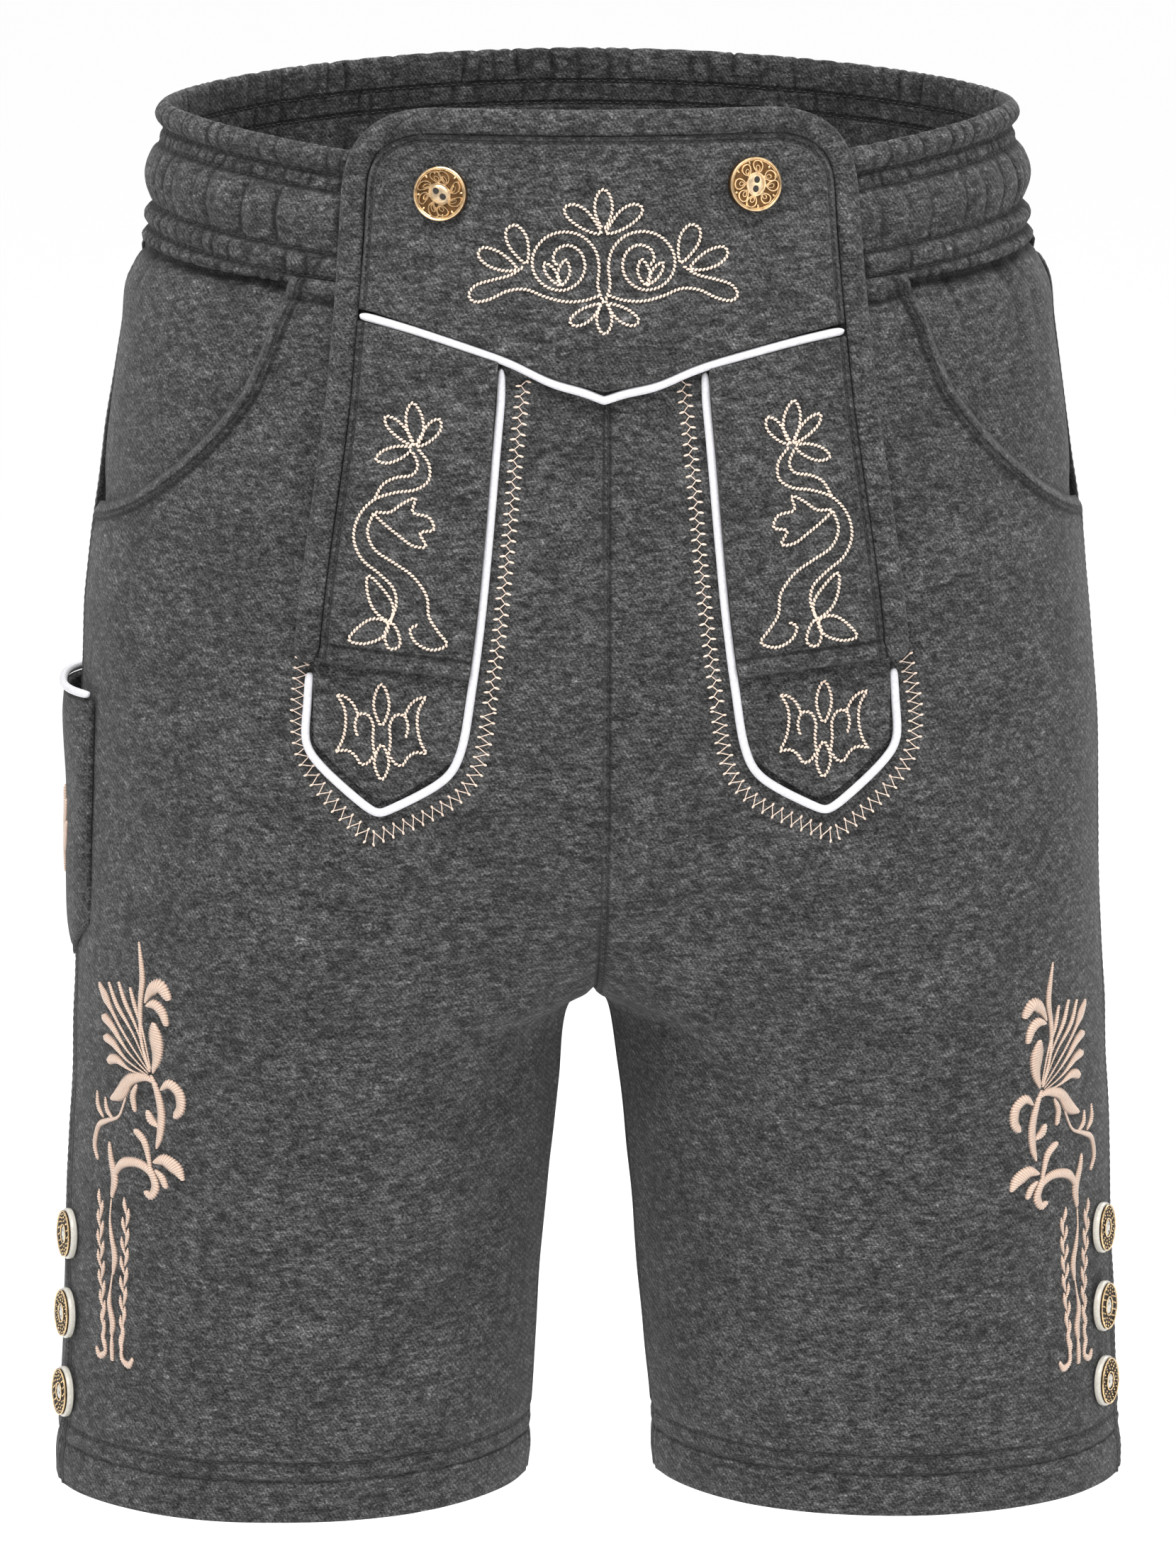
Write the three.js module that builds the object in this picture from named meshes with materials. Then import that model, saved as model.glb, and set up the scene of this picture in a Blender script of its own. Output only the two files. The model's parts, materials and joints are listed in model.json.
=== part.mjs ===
// Traditional knee-length shorts in sweat cloth with a buttoned front flap.
// Millimetres, +Z up, the front faces -Y, the wearer's left is +X.
// The origin is the middle of the waist opening, where a wearer holds the garment up.
import * as THREE from "three";
import { mergeVertices } from "three/addons/utils/BufferGeometryUtils.js";

// ---------------------------------------------------------------- driving sizes
const CLOTH = 2.0;            // thickness of the sweat cloth
const SEAM_GAP = 0.3;         // clear space between neighbouring pieces
const LAY_GAP = 0.6;          // clear space under what lies on a panel
const RIM_SIDE = 30;          // height of the waist rim at the side seams
const RIM_FRONT_DROP = 16;    // how much lower the rim sits at centre front
const RIM_BACK_RISE = 9;      // how much higher it sits at centre back
const TILT_END = -150;        // below this height the rows are level
const BAND_HEIGHT = 54;       // waistband casing, rim to lower edge
const CROTCH = -308;          // height of the crotch point
const HEM = -498;             // height of the leg hems
const FORK_START = -212;      // centre seams begin to turn under here
const FORK_POWER = 2.3;       // how tightly they turn
const LEG_START = -185;       // outer cloth begins to change from torso to leg here
const LEG_END = -338;         // and is all leg from here
const INSEAM_ANGLE = 173;     // place of the inseam round the leg, degrees from the outer side
const INSEAM_DRAW = 3;        // how closely the rows are drawn towards the inseam
const FORK_REACH = 0.24;      // share of a row, from the centre, that the fork's tight curve affects
const SIDE_SEAM_SWING = 14;   // the side seam swings forward by this angle at the hem
const POCKET_BOTTOM = -122;   // where the curved pocket mouth meets the side seam
const POCKET_START = 42.5;    // pocket mouth at the waistband, degrees from centre front
const POCKET_FULLNESS = 2.45; // how full its curve is; 2 would be a true quarter round
const POCKET_BAG_END = -190;  // bottom of the pocket bag
const BAG_CLOTH = 1.4;        // thinner cloth behind the pocket mouth

const FLAP_TOP = 35;          // top edge of the flap
const FLAP_CORNER = 28;       // radius of the flap's top corners
const BINDING_WIDTH = 9.5;
const BINDING_HEIGHT = 4.4;
const PIPING_RADIUS = 1.6;
const STRIP_HEM_INNER = -170.5;
const STRIP_HEM_OUTER = -165.5;
const TONGUE_TOP = -159;      // top of the tongue patch, under the strip
const FLAP_BUTTONS = [          // sewn on by hand, not quite level
  { side: "left", x: 52, z: 6.9 },
  { side: "right", x: -55.3, z: 3.7 },
];

const KNIFE_POCKET = {
  mouth: -193, shoulder: -278, tip: -298, halfWidth: 38, wall: 1.8, rows: 8, columns: 10,
};

const BODY_COLUMNS = 12;
const COLUMN_CROWDING = 1.4;  // columns stand closer together towards the inseam

// ---------------------------------------------------------------- body sections
// z height, side = half width at the side seam, front / back = depth at the centre, n = roundness
const TORSO = [
  { z: 48, side: 158, front: 117, back: 119, n: 1.85 },
  { z: 30, side: 159, front: 118, back: 120, n: 1.85 },
  { z: 0, side: 162, front: 120.5, back: 123, n: 1.9 },
  { z: -27, side: 167, front: 124.5, back: 127, n: 2.0 },
  { z: -36, side: 171.5, front: 127, back: 130.5, n: 2.05 },
  { z: -47, side: 174.2, front: 128, back: 133, n: 2.1 },
  { z: -68, side: 177.8, front: 129.5, back: 136, n: 2.15 },
  { z: -101, side: 182.6, front: 131, back: 140, n: 2.2 },
  { z: -155, side: 189.3, front: 131, back: 144, n: 2.25 },
  { z: -188, side: 191.8, front: 129.5, back: 144, n: 2.3 },
  { z: -233, side: 193.6, front: 126, back: 140, n: 2.3 },
  { z: -270, side: 195.2, front: 120, back: 133, n: 2.3 },
  { z: -308, side: 196.6, front: 113, back: 124, n: 2.3 },
  { z: -345, side: 198.2, front: 106, back: 112, n: 2.3 },
];
// z height, outer / inner = distance of the leg's sides from the centre plane, front / back = depth
const LEG = [
  { z: -180, outer: 191.2, inner: 0, front: 132, back: 144 },
  { z: -233, outer: 193.6, inner: 0, front: 132, back: 145 },
  { z: -270, outer: 195.2, inner: 0, front: 124.5, back: 136 },
  { z: -308, outer: 196.6, inner: 0, front: 112.5, back: 119.5 },
  { z: -311, outer: 196.8, inner: 5.6, front: 111.9, back: 118.6 },
  { z: -317, outer: 197, inner: 8.2, front: 110.7, back: 116.8 },
  { z: -326, outer: 197.3, inner: 9.9, front: 109, back: 114.2 },
  { z: -342, outer: 197.9, inner: 11.7, front: 106.2, back: 110 },
  { z: -372, outer: 200.2, inner: 14.8, front: 101.8, back: 103 },
  { z: -410, outer: 202, inner: 18.6, front: 97.4, back: 95.5 },
  { z: -454, outer: 204, inner: 22, front: 93.2, back: 89 },
  { z: -500, outer: 206.2, inner: 24.6, front: 90, back: 84 },
];

const lerp = (a, b, t) => a + (b - a) * t;
const clamp01 = (t) => Math.min(1, Math.max(0, t));
const smooth = (t) => clamp01(t) ** 2 * (3 - 2 * clamp01(t));
const radians = (degrees) => (degrees * Math.PI) / 180;
const signedPower = (value, power) => Math.sign(value) * Math.abs(value) ** power;

// reads one column of a section table at any height, as a smooth curve that never overshoots
function section(table, column, z) {
  let i = table.findIndex((row) => row.z <= z);
  if (i === -1) i = table.length - 1;
  if (i === 0) i = 1;
  const [a, b] = [table[i - 1], table[i]];
  const slope = (p, q) => (p && q ? (q[column] - p[column]) / (q.z - p.z) : 0);
  const middle = slope(a, b);
  const blend = (other) => (other * middle > 0 ? (2 * other * middle) / (other + middle) : 0);
  const m0 = table[i - 2] ? blend(slope(table[i - 2], a)) : middle;
  const m1 = table[i + 1] ? blend(slope(b, table[i + 1])) : middle;
  const span = b.z - a.z;
  const t = clamp01((z - a.z) / span);
  const t2 = t * t;
  const t3 = t2 * t;
  return (2 * t3 - 3 * t2 + 1) * a[column] + (t3 - 2 * t2 + t) * m0 * span
    + (3 * t2 - 2 * t3) * b[column] + (t3 - t2) * m1 * span;
}

// point of the torso at an angle: 0 is the side seam, 90 centre front, -90 centre back
function torsoPoint(angle, z) {
  const power = 2 / section(TORSO, "n", z);
  const depth = section(TORSO, angle >= 0 ? "front" : "back", z);
  const across = signedPower(Math.cos(radians(angle)), power);
  const forward = signedPower(Math.sin(radians(angle)), power);
  return [section(TORSO, "side", z) * across, -depth * forward];
}

// point of the leg at an angle: 0 is the outer side, 90 the front, 180 the inner side
function legPoint(angle, z) {
  const outer = section(LEG, "outer", z);
  const inner = section(LEG, "inner", z);
  const depth = section(LEG, Math.sin(radians(angle)) >= 0 ? "front" : "back", z);
  const middle = (outer + inner) / 2;
  const across = Math.cos(radians(angle)) * (outer - inner) / 2;
  return [middle + across, -depth * Math.sin(radians(angle))];
}

const sideSeamAngle = (z) => SIDE_SEAM_SWING * smooth((POCKET_BOTTOM - z) / (POCKET_BOTTOM - HEM));

// how far a row has turned from torso to leg: the centre seam turns under in a tight curve,
// the rest of the cloth changes over a longer height
function legShare(u, z) {
  const fork = clamp01((FORK_START - z) / (FORK_START - CROTCH));
  const seam = 1 - (1 - fork ** FORK_POWER) ** (1 / FORK_POWER);
  const outer = smooth((LEG_START - z) / (LEG_START - LEG_END));
  return lerp(seam, outer, smooth(u / FORK_REACH));
}

// the rim and the rows near it dip at the front and rise at the back
function tilt(y, z) {
  const share = clamp01((z - TILT_END) / (RIM_SIDE - TILT_END)) ** 1.2;
  if (y < 0) return -RIM_FRONT_DROP * share * Math.min(1.1, -y / section(TORSO, "front", z)) ** 1.8;
  return RIM_BACK_RISE * share * Math.min(1.1, y / section(TORSO, "back", z)) ** 1.5;
}

// outer surface of one half of the garment: u runs from the centre seam or inseam (0) to the side
// seam (1); angle, where given, replaces the side seam as the end of the row
function bodyPoint(half, u, z, angle = sideSeamAngle(z)) {
  const centre = half === "front" ? 90 : -90;
  const inseam = half === "front" ? INSEAM_ANGLE : INSEAM_ANGLE - 360;
  const torsoAngle = lerp(centre, angle, u);
  const [tx, ty] = torsoPoint(torsoAngle, z);
  if (z > LEG_START) return new THREE.Vector3(tx, ty, z + tilt(ty, z));
  const [lx, ly] = legPoint(torsoAngle + (inseam - centre) * (1 - u) ** INSEAM_DRAW, z);
  const share = legShare(u, z);
  return new THREE.Vector3(lerp(tx, lx, share), lerp(ty, ly, share), z + tilt(ty, z));
}

function bodyNormal(half, u, z, angle) {
  const du = 1e-3;
  const dz = 0.2;
  const u0 = Math.max(0, u - du);
  const u1 = Math.min(1, u + du);
  const along = bodyPoint(half, u1, z, angle).sub(bodyPoint(half, u0, z, angle));
  const down = bodyPoint(half, u, z - dz, angle).sub(bodyPoint(half, u, z + dz, angle));
  const normal = new THREE.Vector3().crossVectors(down, along);
  if (half === "back") normal.negate();
  if (u === 0 && z >= CROTCH) normal.x = 0;
  return normal.normalize();
}

// ---------------------------------------------------------------- mesh helpers
// A closed wall between two grids of points, outer[row][column] and inner[row][column].
function wall(outer, inner) {
  const rows = outer.length;
  const columns = outer[0].length;
  const points = [...outer.flat(), ...inner.flat()];
  const at = (layer, i, j) => layer * rows * columns + i * columns + j;
  const triangles = [];
  // each four-sided face is split along its shorter diagonal, so it follows a curved surface
  const quad = (a, b, c, d) => {
    const split = points[a].distanceTo(points[c]) <= points[b].distanceTo(points[d]);
    triangles.push(...(split ? [a, b, c, a, c, d] : [a, b, d, b, c, d]));
  };
  const last = columns - 1;
  for (let i = 0; i < rows - 1; i++) {
    for (let j = 0; j < last; j++) {
      quad(at(0, i, j), at(0, i + 1, j), at(0, i + 1, j + 1), at(0, i, j + 1));
      quad(at(1, i, j), at(1, i, j + 1), at(1, i + 1, j + 1), at(1, i + 1, j));
    }
  }
  for (let j = 0; j < last; j++) {
    quad(at(0, 0, j), at(0, 0, j + 1), at(1, 0, j + 1), at(1, 0, j));
    quad(at(0, rows - 1, j), at(1, rows - 1, j), at(1, rows - 1, j + 1), at(0, rows - 1, j + 1));
  }
  for (let i = 0; i < rows - 1; i++) {
    quad(at(0, i, 0), at(1, i, 0), at(1, i + 1, 0), at(0, i + 1, 0));
    quad(at(0, i, last), at(0, i + 1, last), at(1, i + 1, last), at(1, i, last));
  }
  return closedGeometry(points.flatMap((p) => [p.x, p.y, p.z]), triangles);
}

// welds the points and turns the faces outward if the volume comes out negative
function closedGeometry(positions, triangles) {
  let volume = 0;
  const corner = (i) => new THREE.Vector3().fromArray(positions, 3 * triangles[i]);
  for (let i = 0; i < triangles.length; i += 3) {
    volume += corner(i).dot(corner(i + 1).cross(corner(i + 2)));
  }
  if (volume < 0) triangles.reverse();
  const geometry = new THREE.BufferGeometry();
  geometry.setAttribute("position", new THREE.Float32BufferAttribute(positions, 3));
  geometry.setIndex(triangles);
  return mergeVertices(geometry, 1e-3);
}

// a solid tube of round or flattened section along a list of points with their outward normals
function tubeAlong(points, normals, { width, height, sides = 8 }) {
  const rings = points.map((point, i) => {
    const ahead = points[Math.min(i + 1, points.length - 1)];
    const behind = points[Math.max(i - 1, 0)];
    const direction = ahead.clone().sub(behind).normalize();
    const across = new THREE.Vector3().crossVectors(direction, normals[i]).normalize();
    const up = new THREE.Vector3().crossVectors(across, direction).normalize();
    return Array.from({ length: sides }, (_, k) => {
      const a = (2 * Math.PI * (k + 0.5)) / sides;
      return point.clone()
        .addScaledVector(across, (width / 2) * Math.cos(a))
        .addScaledVector(up, (height / 2) * Math.sin(a));
    });
  });
  const positions = rings.flat().flatMap((p) => [p.x, p.y, p.z]);
  const triangles = [];
  for (let i = 0; i < rings.length - 1; i++) {
    for (let k = 0; k < sides; k++) {
      const [a, b] = [i * sides + k, i * sides + ((k + 1) % sides)];
      triangles.push(a, b, b + sides, a, b + sides, a + sides);
    }
  }
  const last = (rings.length - 1) * sides;
  for (let k = 1; k < sides - 1; k++) {
    triangles.push(0, k + 1, k, last, last + k, last + k + 1);
  }
  return closedGeometry(positions, triangles);
}

const mirrored = (points) => points.map((p) => new THREE.Vector3(-p.x, p.y, p.z));
const mirrorGrid = (grid) => grid.map(mirrored);

// ---------------------------------------------------------------- colours
const CLOTH_COLOUR = { color: 0x4b4b4d, roughness: 0.95, metalness: 0 };
const PIPING_COLOUR = { color: 0xf0eef2, roughness: 0.5, metalness: 0 };
const GOLD = { color: 0xb98a3c, roughness: 0.35, metalness: 0.9 };
const CREAM = { color: 0xe9dfc8, roughness: 0.35, metalness: 0 };

const garment = new THREE.Group();
function add(name, geometry, colour) {
  const mesh = new THREE.Mesh(geometry, new THREE.MeshStandardMaterial(colour));
  mesh.name = name;
  garment.add(mesh);
}

// ---------------------------------------------------------------- body panels
// Heights of the panel rows: a few at fixed places, even steps between them.
function rowHeights(stops) {
  const heights = [];
  for (let i = 0; i < stops.length - 1; i++) {
    const [from, steps] = stops[i];
    for (let k = 0; k < steps; k++) heights.push(lerp(from, stops[i + 1][0], k / steps));
  }
  heights.push(stops.at(-1)[0]);
  return heights;
}

const PANEL_TOP = RIM_SIDE - BAND_HEIGHT - SEAM_GAP;
// each stop: height, and the number of rows down to the next stop
const PANEL_ROWS = rowHeights([
  [PANEL_TOP, 2], [-47, 2], [-85, 1], [-101, 1], [-110, 1], [-116, 1], [-120.6, 1], [POCKET_BOTTOM, 2],
  [-190, 1], [FORK_START, 2], [-258, 1], [-279, 1], [-293, 1], [-302, 1], [CROTCH, 1],
  [-311, 1], [-317, 1], [-326, 1], [-342, 1], [-372, 2], [HEM, 0],
]);

// the pocket mouth is a full quarter round from the waistband to the side seam
function pocketMouthAngle(z) {
  const drop = clamp01((PANEL_TOP - z) / (PANEL_TOP - POCKET_BOTTOM));
  const swing = 1 - Math.sqrt(1 - drop ** POCKET_FULLNESS);
  return lerp(90 - POCKET_START, 0, swing);
}

function panelGrids(half, depth) {
  const grid = (inward) => PANEL_ROWS.map((z) => {
    const angle = half === "front" && z > POCKET_BOTTOM ? pocketMouthAngle(z) : sideSeamAngle(z);
    return Array.from({ length: BODY_COLUMNS + 1 }, (_, j) => {
      const u = (j / BODY_COLUMNS) ** COLUMN_CROWDING;
      const point = bodyPoint(half, u, z, angle);
      const normal = bodyNormal(half, u, z, angle);
      point.addScaledVector(normal, -inward);
      const sideways = half === "front" ? 1 : -1;
      if (j === 0) {
        if (z >= CROTCH) point.x += SEAM_GAP / 2;
        if (z <= CROTCH) point.y -= (sideways * SEAM_GAP) / 2;
      }
      if (j === BODY_COLUMNS) point.y -= (sideways * SEAM_GAP) / 2;
      return point;
    });
  });
  return [grid(0), grid(depth)];
}

for (const half of ["front", "back"]) {
  const [outer, inner] = panelGrids(half, CLOTH);
  add(`${half}_panel_left`, wall(outer, inner), CLOTH_COLOUR);
  add(`${half}_panel_right`, wall(mirrorGrid(outer), mirrorGrid(inner)), CLOTH_COLOUR);
}

// ---------------------------------------------------------------- pocket side pieces
// Seen inside the pocket mouth; from there the pocket bag runs on behind the front panel.
const BAG = {
  underlap: 16,       // degrees it reaches behind the front panel at the waistband
  lowStart: 52,       // degrees from the side seam to its front edge, below the mouth
  narrowing: 60,      // height over which the front edge moves from one to the other
  hidden: CLOTH + 1.3,
  shown: 0.3,         // depth below the body's surface, behind the panel and in the mouth
  step: { from: 10, over: 24 },
};
function pocketSideGrids() {
  const heights = rowHeights([[PANEL_TOP, 2], [-47, 3], [-108, 2], [POCKET_BOTTOM, 3], [POCKET_BAG_END, 0]]);
  const columns = 9;
  const point = (z, u, extra) => {
    const below = clamp01((POCKET_BOTTOM - z) / BAG.narrowing);
    const start = lerp(90 - POCKET_START + BAG.underlap, BAG.lowStart, below);
    const angle = lerp(start, 0, u);
    const share = 1 - angle / 90;
    const p = bodyPoint("front", share, z, 0);
    const mouth = pocketMouthAngle(Math.max(z, POCKET_BOTTOM));
    const shows = smooth((mouth - angle - BAG.step.from) / BAG.step.over);
    const depth = lerp(BAG.hidden, BAG.shown, shows) + extra;
    p.addScaledVector(bodyNormal("front", share, z, 0), -depth);
    if (u === 1) p.y -= SEAM_GAP / 2;
    return p;
  };
  const grid = (extra) => heights.map((z) => (
    Array.from({ length: columns + 1 }, (_, j) => point(z, j / columns, extra))
  ));
  return [grid(0), grid(BAG_CLOTH)];
}
{
  const [outer, inner] = pocketSideGrids();
  add("pocket_side_left", wall(outer, inner), CLOTH_COLOUR);
  add("pocket_side_right", wall(mirrorGrid(outer), mirrorGrid(inner)), CLOTH_COLOUR);
}

// ---------------------------------------------------------------- waistband
// the casing's section: drop below the rim, and how far it stands out from the body surface
const BAND_SECTION = [
  { drop: 0.6, out: 0.2 }, { drop: 5, out: 2.6 }, { drop: 10, out: 0.8 }, { drop: 15.5, out: 0.8 },
  { drop: 20, out: 3.2 }, { drop: 27, out: 4.2 }, { drop: 34, out: 3.2 }, { drop: 38.5, out: 0.8 },
  { drop: 42.8, out: 2.2 }, { drop: 47, out: 0.8 }, { drop: BAND_HEIGHT, out: 1.6 },
  { drop: BAND_HEIGHT, out: -2.2 }, { drop: 27, out: -3.2 }, { drop: 2.5, out: -3 },
];
const BAND_COLUMNS = 44;

// one level ring of points round the waist; the right half mirrors the left
function waistRing({ drop, out }) {
  return Array.from({ length: BAND_COLUMNS }, (_, j) => {
    const turn = (360 * j) / BAND_COLUMNS;
    const half = turn <= 180 ? "front" : "back";
    const toSide = Math.min(turn % 180, 180 - (turn % 180));
    const u = 1 - toSide / 90;
    const z = RIM_SIDE - drop;
    const point = bodyPoint(half, u, z, 0).addScaledVector(bodyNormal(half, u, z, 0), out);
    if (turn > 90 && turn < 270) point.x = -point.x;
    return point;
  });
}

// joins closed rings into one solid ring; the last one joins back to the first
function ringSolid(rings) {
  const count = rings[0].length;
  const triangles = [];
  rings.forEach((_, i) => {
    const below = (i + 1) % rings.length;
    for (let j = 0; j < count; j++) {
      const next = (j + 1) % count;
      const [a, b, c, d] = [i * count + j, below * count + j, below * count + next, i * count + next];
      triangles.push(a, b, c, a, c, d);
    }
  });
  return closedGeometry(rings.flat().flatMap((p) => [p.x, p.y, p.z]), triangles);
}
add("waistband", ringSolid(BAND_SECTION.map(waistRing)), CLOTH_COLOUR);

// ---------------------------------------------------------------- what lies on the front
// The front surface addressed by its distance from the centre plane and its height.
function onFront(x, z, lift) {
  let row = z;
  let u = 0;
  for (let pass = 0; pass < 4; pass++) {
    let [low, high] = [0, 1];
    for (let step = 0; step < 24; step++) {
      u = (low + high) / 2;
      if (bodyPoint("front", u, row, 0).x < Math.abs(x)) low = u;
      else high = u;
    }
    row += z - bodyPoint("front", u, row, 0).z;
  }
  const point = bodyPoint("front", u, row, 0);
  const normal = bodyNormal("front", u, row, 0);
  if (Math.abs(x) < 0.5) normal.setX(0).normalize();
  point.addScaledVector(normal, lift);
  if (x < 0) {
    point.x = -point.x;
    normal.x = -normal.x;
  }
  return { point, normal };
}

// outer edge of the flap: nearly upright beside the waistband, then slanting out
const FLAP_EDGE = [
  { z: 40, x: 91 }, { z: 4, x: 91.5 }, { z: -35, x: 94.5 }, { z: -68, x: 98.5 },
  { z: -106, x: 103.5 }, { z: -143, x: 108.5 }, { z: -172, x: 111.5 },
];
const flapEdge = (z) => section(FLAP_EDGE, "x", z);

// the flap passes over the thick waistband and lies closer to the cloth below it,
// and its loose side edges stand a little off
const FLAP_LIFT = { low: 2.6, overBand: 5.2, bandEnds: -82, rise: 40, looseEdge: 2.2, looseBelow: -60 };
function flapLift(x, z) {
  const overBand = smooth((z - FLAP_LIFT.bandEnds) / FLAP_LIFT.rise);
  const besideEdge = smooth((Math.abs(x) - 60) / 50);
  const loose = besideEdge * smooth((FLAP_LIFT.looseBelow - z) / 60);
  return lerp(FLAP_LIFT.low, FLAP_LIFT.overBand, overBand) + FLAP_LIFT.looseEdge * loose;
}

// the V seam under the yoke, and the seam down each strip and round its tongue
const V_SEAM = { tip: -68, rise: 24.5, reach: 92, curve: 1.35 };
const vSeam = (x) => {
  const toEdge = Math.min(1, Math.abs(x) / V_SEAM.reach);
  return V_SEAM.tip + V_SEAM.rise * (1 - (1 - toEdge) ** V_SEAM.curve);
};
const SEAM_LINE = [
  { z: -50, x: 35 }, { z: -60, x: 36 }, { z: -92, x: 39 }, { z: -124, x: 41.8 }, { z: -150, x: 44.4 },
  { z: -166, x: 46.4 }, { z: -190, x: 50 },
];
const seamLine = (z) => section(SEAM_LINE, "x", z);
const TONGUE = {
  innerCorner: [53.5, -204], tip: [82, -222], outerCorner: [106.8, -200], outerTop: [106, -168.5],
};

// a patch on the front: rows of heights and columns between two edges
function frontPatch({ rows, columns, edges, lift, thickness, mirror }) {
  const grid = (extra) => Array.from({ length: rows + 1 }, (_, i) => (
    Array.from({ length: columns + 1 }, (_, j) => {
      const [x, z] = edges(i / rows, j / columns);
      return onFront(mirror ? -x : x, z, lift(x, z) + extra).point;
    })
  ));
  return wall(grid(thickness), grid(0));
}

const INNER_MARGIN = BINDING_WIDTH + SEAM_GAP;
const yokeHalfWidth = (z) => {
  const corner = FLAP_CORNER - BINDING_WIDTH;
  const into = clamp01((z - (FLAP_TOP - INNER_MARGIN - corner)) / corner);
  return flapEdge(z) - INNER_MARGIN - corner * (1 - Math.sqrt(1 - into * into));
};
const YOKE_CLOTH = 2.6;
// just above the V seam the yoke keeps this half width, a little more for each millimetre down
const YOKE_FOOT = { halfWidth: 85.4, flare: 0.06 };
add("flap_yoke", frontPatch({
  rows: 8,
  columns: 12,
  edges: (v, u) => {
    const along = 2 * u - 1;
    const top = FLAP_TOP - INNER_MARGIN;
    const ease = v ** 1.6;
    const z0 = lerp(top, vSeam(along * YOKE_FOOT.halfWidth) + PIPING_RADIUS + SEAM_GAP, ease);
    const half = Math.min(yokeHalfWidth(z0), YOKE_FOOT.halfWidth + YOKE_FOOT.flare * Math.max(0, -z0));
    const x = along * half;
    return [x, lerp(top, vSeam(x) + PIPING_RADIUS + SEAM_GAP, ease)];
  },
  lift: flapLift,
  thickness: YOKE_CLOTH,
}), CLOTH_COLOUR);

const STRIP_CLOTH = 2.4;
const STRIP_TOP_GAP = SEAM_GAP + 0.4;
const TONGUE_CLOTH = 1.5;
const TONGUE_MARGIN = PIPING_RADIUS + SEAM_GAP + 1.3;
const TONGUE_TURN = 1.6;      // the patch's inner lower corner is drawn in by this much
for (const [side, mirror] of [["left", false], ["right", true]]) {
  add(`flap_strip_${side}`, frontPatch({
    rows: 10,
    columns: 6,
    edges: (v, u) => {
      const bottom = lerp(STRIP_HEM_INNER, STRIP_HEM_OUTER, u);
      const place = (z) => lerp(seamLine(z) + PIPING_RADIUS + SEAM_GAP, flapEdge(z) - INNER_MARGIN, u);
      const top = vSeam(place(V_SEAM.tip)) - PIPING_RADIUS - STRIP_TOP_GAP;
      const z = lerp(top, bottom, v);
      return [place(z), z];
    },
    lift: flapLift,
    thickness: STRIP_CLOTH,
    mirror,
  }), CLOTH_COLOUR);

  add(`tongue_${side}`, frontPatch({
    rows: 5,
    columns: 6,
    edges: (v, u) => {
      const turn = TONGUE_TURN * v ** 6 * (1 - u);
      const low = lerp(TONGUE.innerCorner[0], TONGUE.outerCorner[0], u);
      const corner = low < TONGUE.tip[0] ? TONGUE.innerCorner : TONGUE.outerCorner;
      const toTip = clamp01((low - corner[0]) / (TONGUE.tip[0] - corner[0]));
      const z = lerp(TONGUE_TOP, lerp(corner[1], TONGUE.tip[1], toTip) + 1.4 * TONGUE_MARGIN, v);
      return [lerp(seamLine(z) + TONGUE_MARGIN, TONGUE.outerTop[0] - TONGUE_MARGIN, u) + turn, z];
    },
    lift: () => LAY_GAP,
    thickness: TONGUE_CLOTH,
    mirror,
  }), CLOTH_COLOUR);
}

// ---------------------------------------------------------------- binding and piping
// samples a smooth curve through x, z stops on the front and returns points and normals
function routeOnFront(stops, steps, lift) {
  const through = stops.map(([x, z]) => new THREE.Vector3(x, 0, z));
  const path = new THREE.CatmullRomCurve3(through, false, "centripetal");
  const route = path.getSpacedPoints(steps).map((p) => onFront(p.x, p.z, lift(p.x, p.z)));
  return [route.map((r) => r.point), route.map((r) => r.normal)];
}

const bindingStops = () => {
  const inset = BINDING_WIDTH / 2;
  const heights = [-166, -143, -106, -68, -35, FLAP_TOP - FLAP_CORNER - 2];
  const upright = heights.map((z) => [flapEdge(z) - inset, z]);
  const radius = FLAP_CORNER - inset;
  const centre = [flapEdge(0) - FLAP_CORNER, FLAP_TOP - FLAP_CORNER];
  const corner = [15, 35, 55, 75, 90].map((a) => [
    centre[0] + radius * Math.cos(radians(a)), centre[1] + radius * Math.sin(radians(a)),
  ]);
  const half = [...upright, ...corner, [32, FLAP_TOP - inset]];
  return [...half, [0, FLAP_TOP - inset], ...half.map(([x, z]) => [-x, z]).reverse()];
};
{
  const middle = (x, z) => flapLift(x, z) + YOKE_CLOTH / 2;
  add("flap_binding", tubeAlong(
    ...routeOnFront(bindingStops(), 50, middle),
    { width: BINDING_WIDTH, height: BINDING_HEIGHT, sides: 8 },
  ), CLOTH_COLOUR);
}

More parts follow.
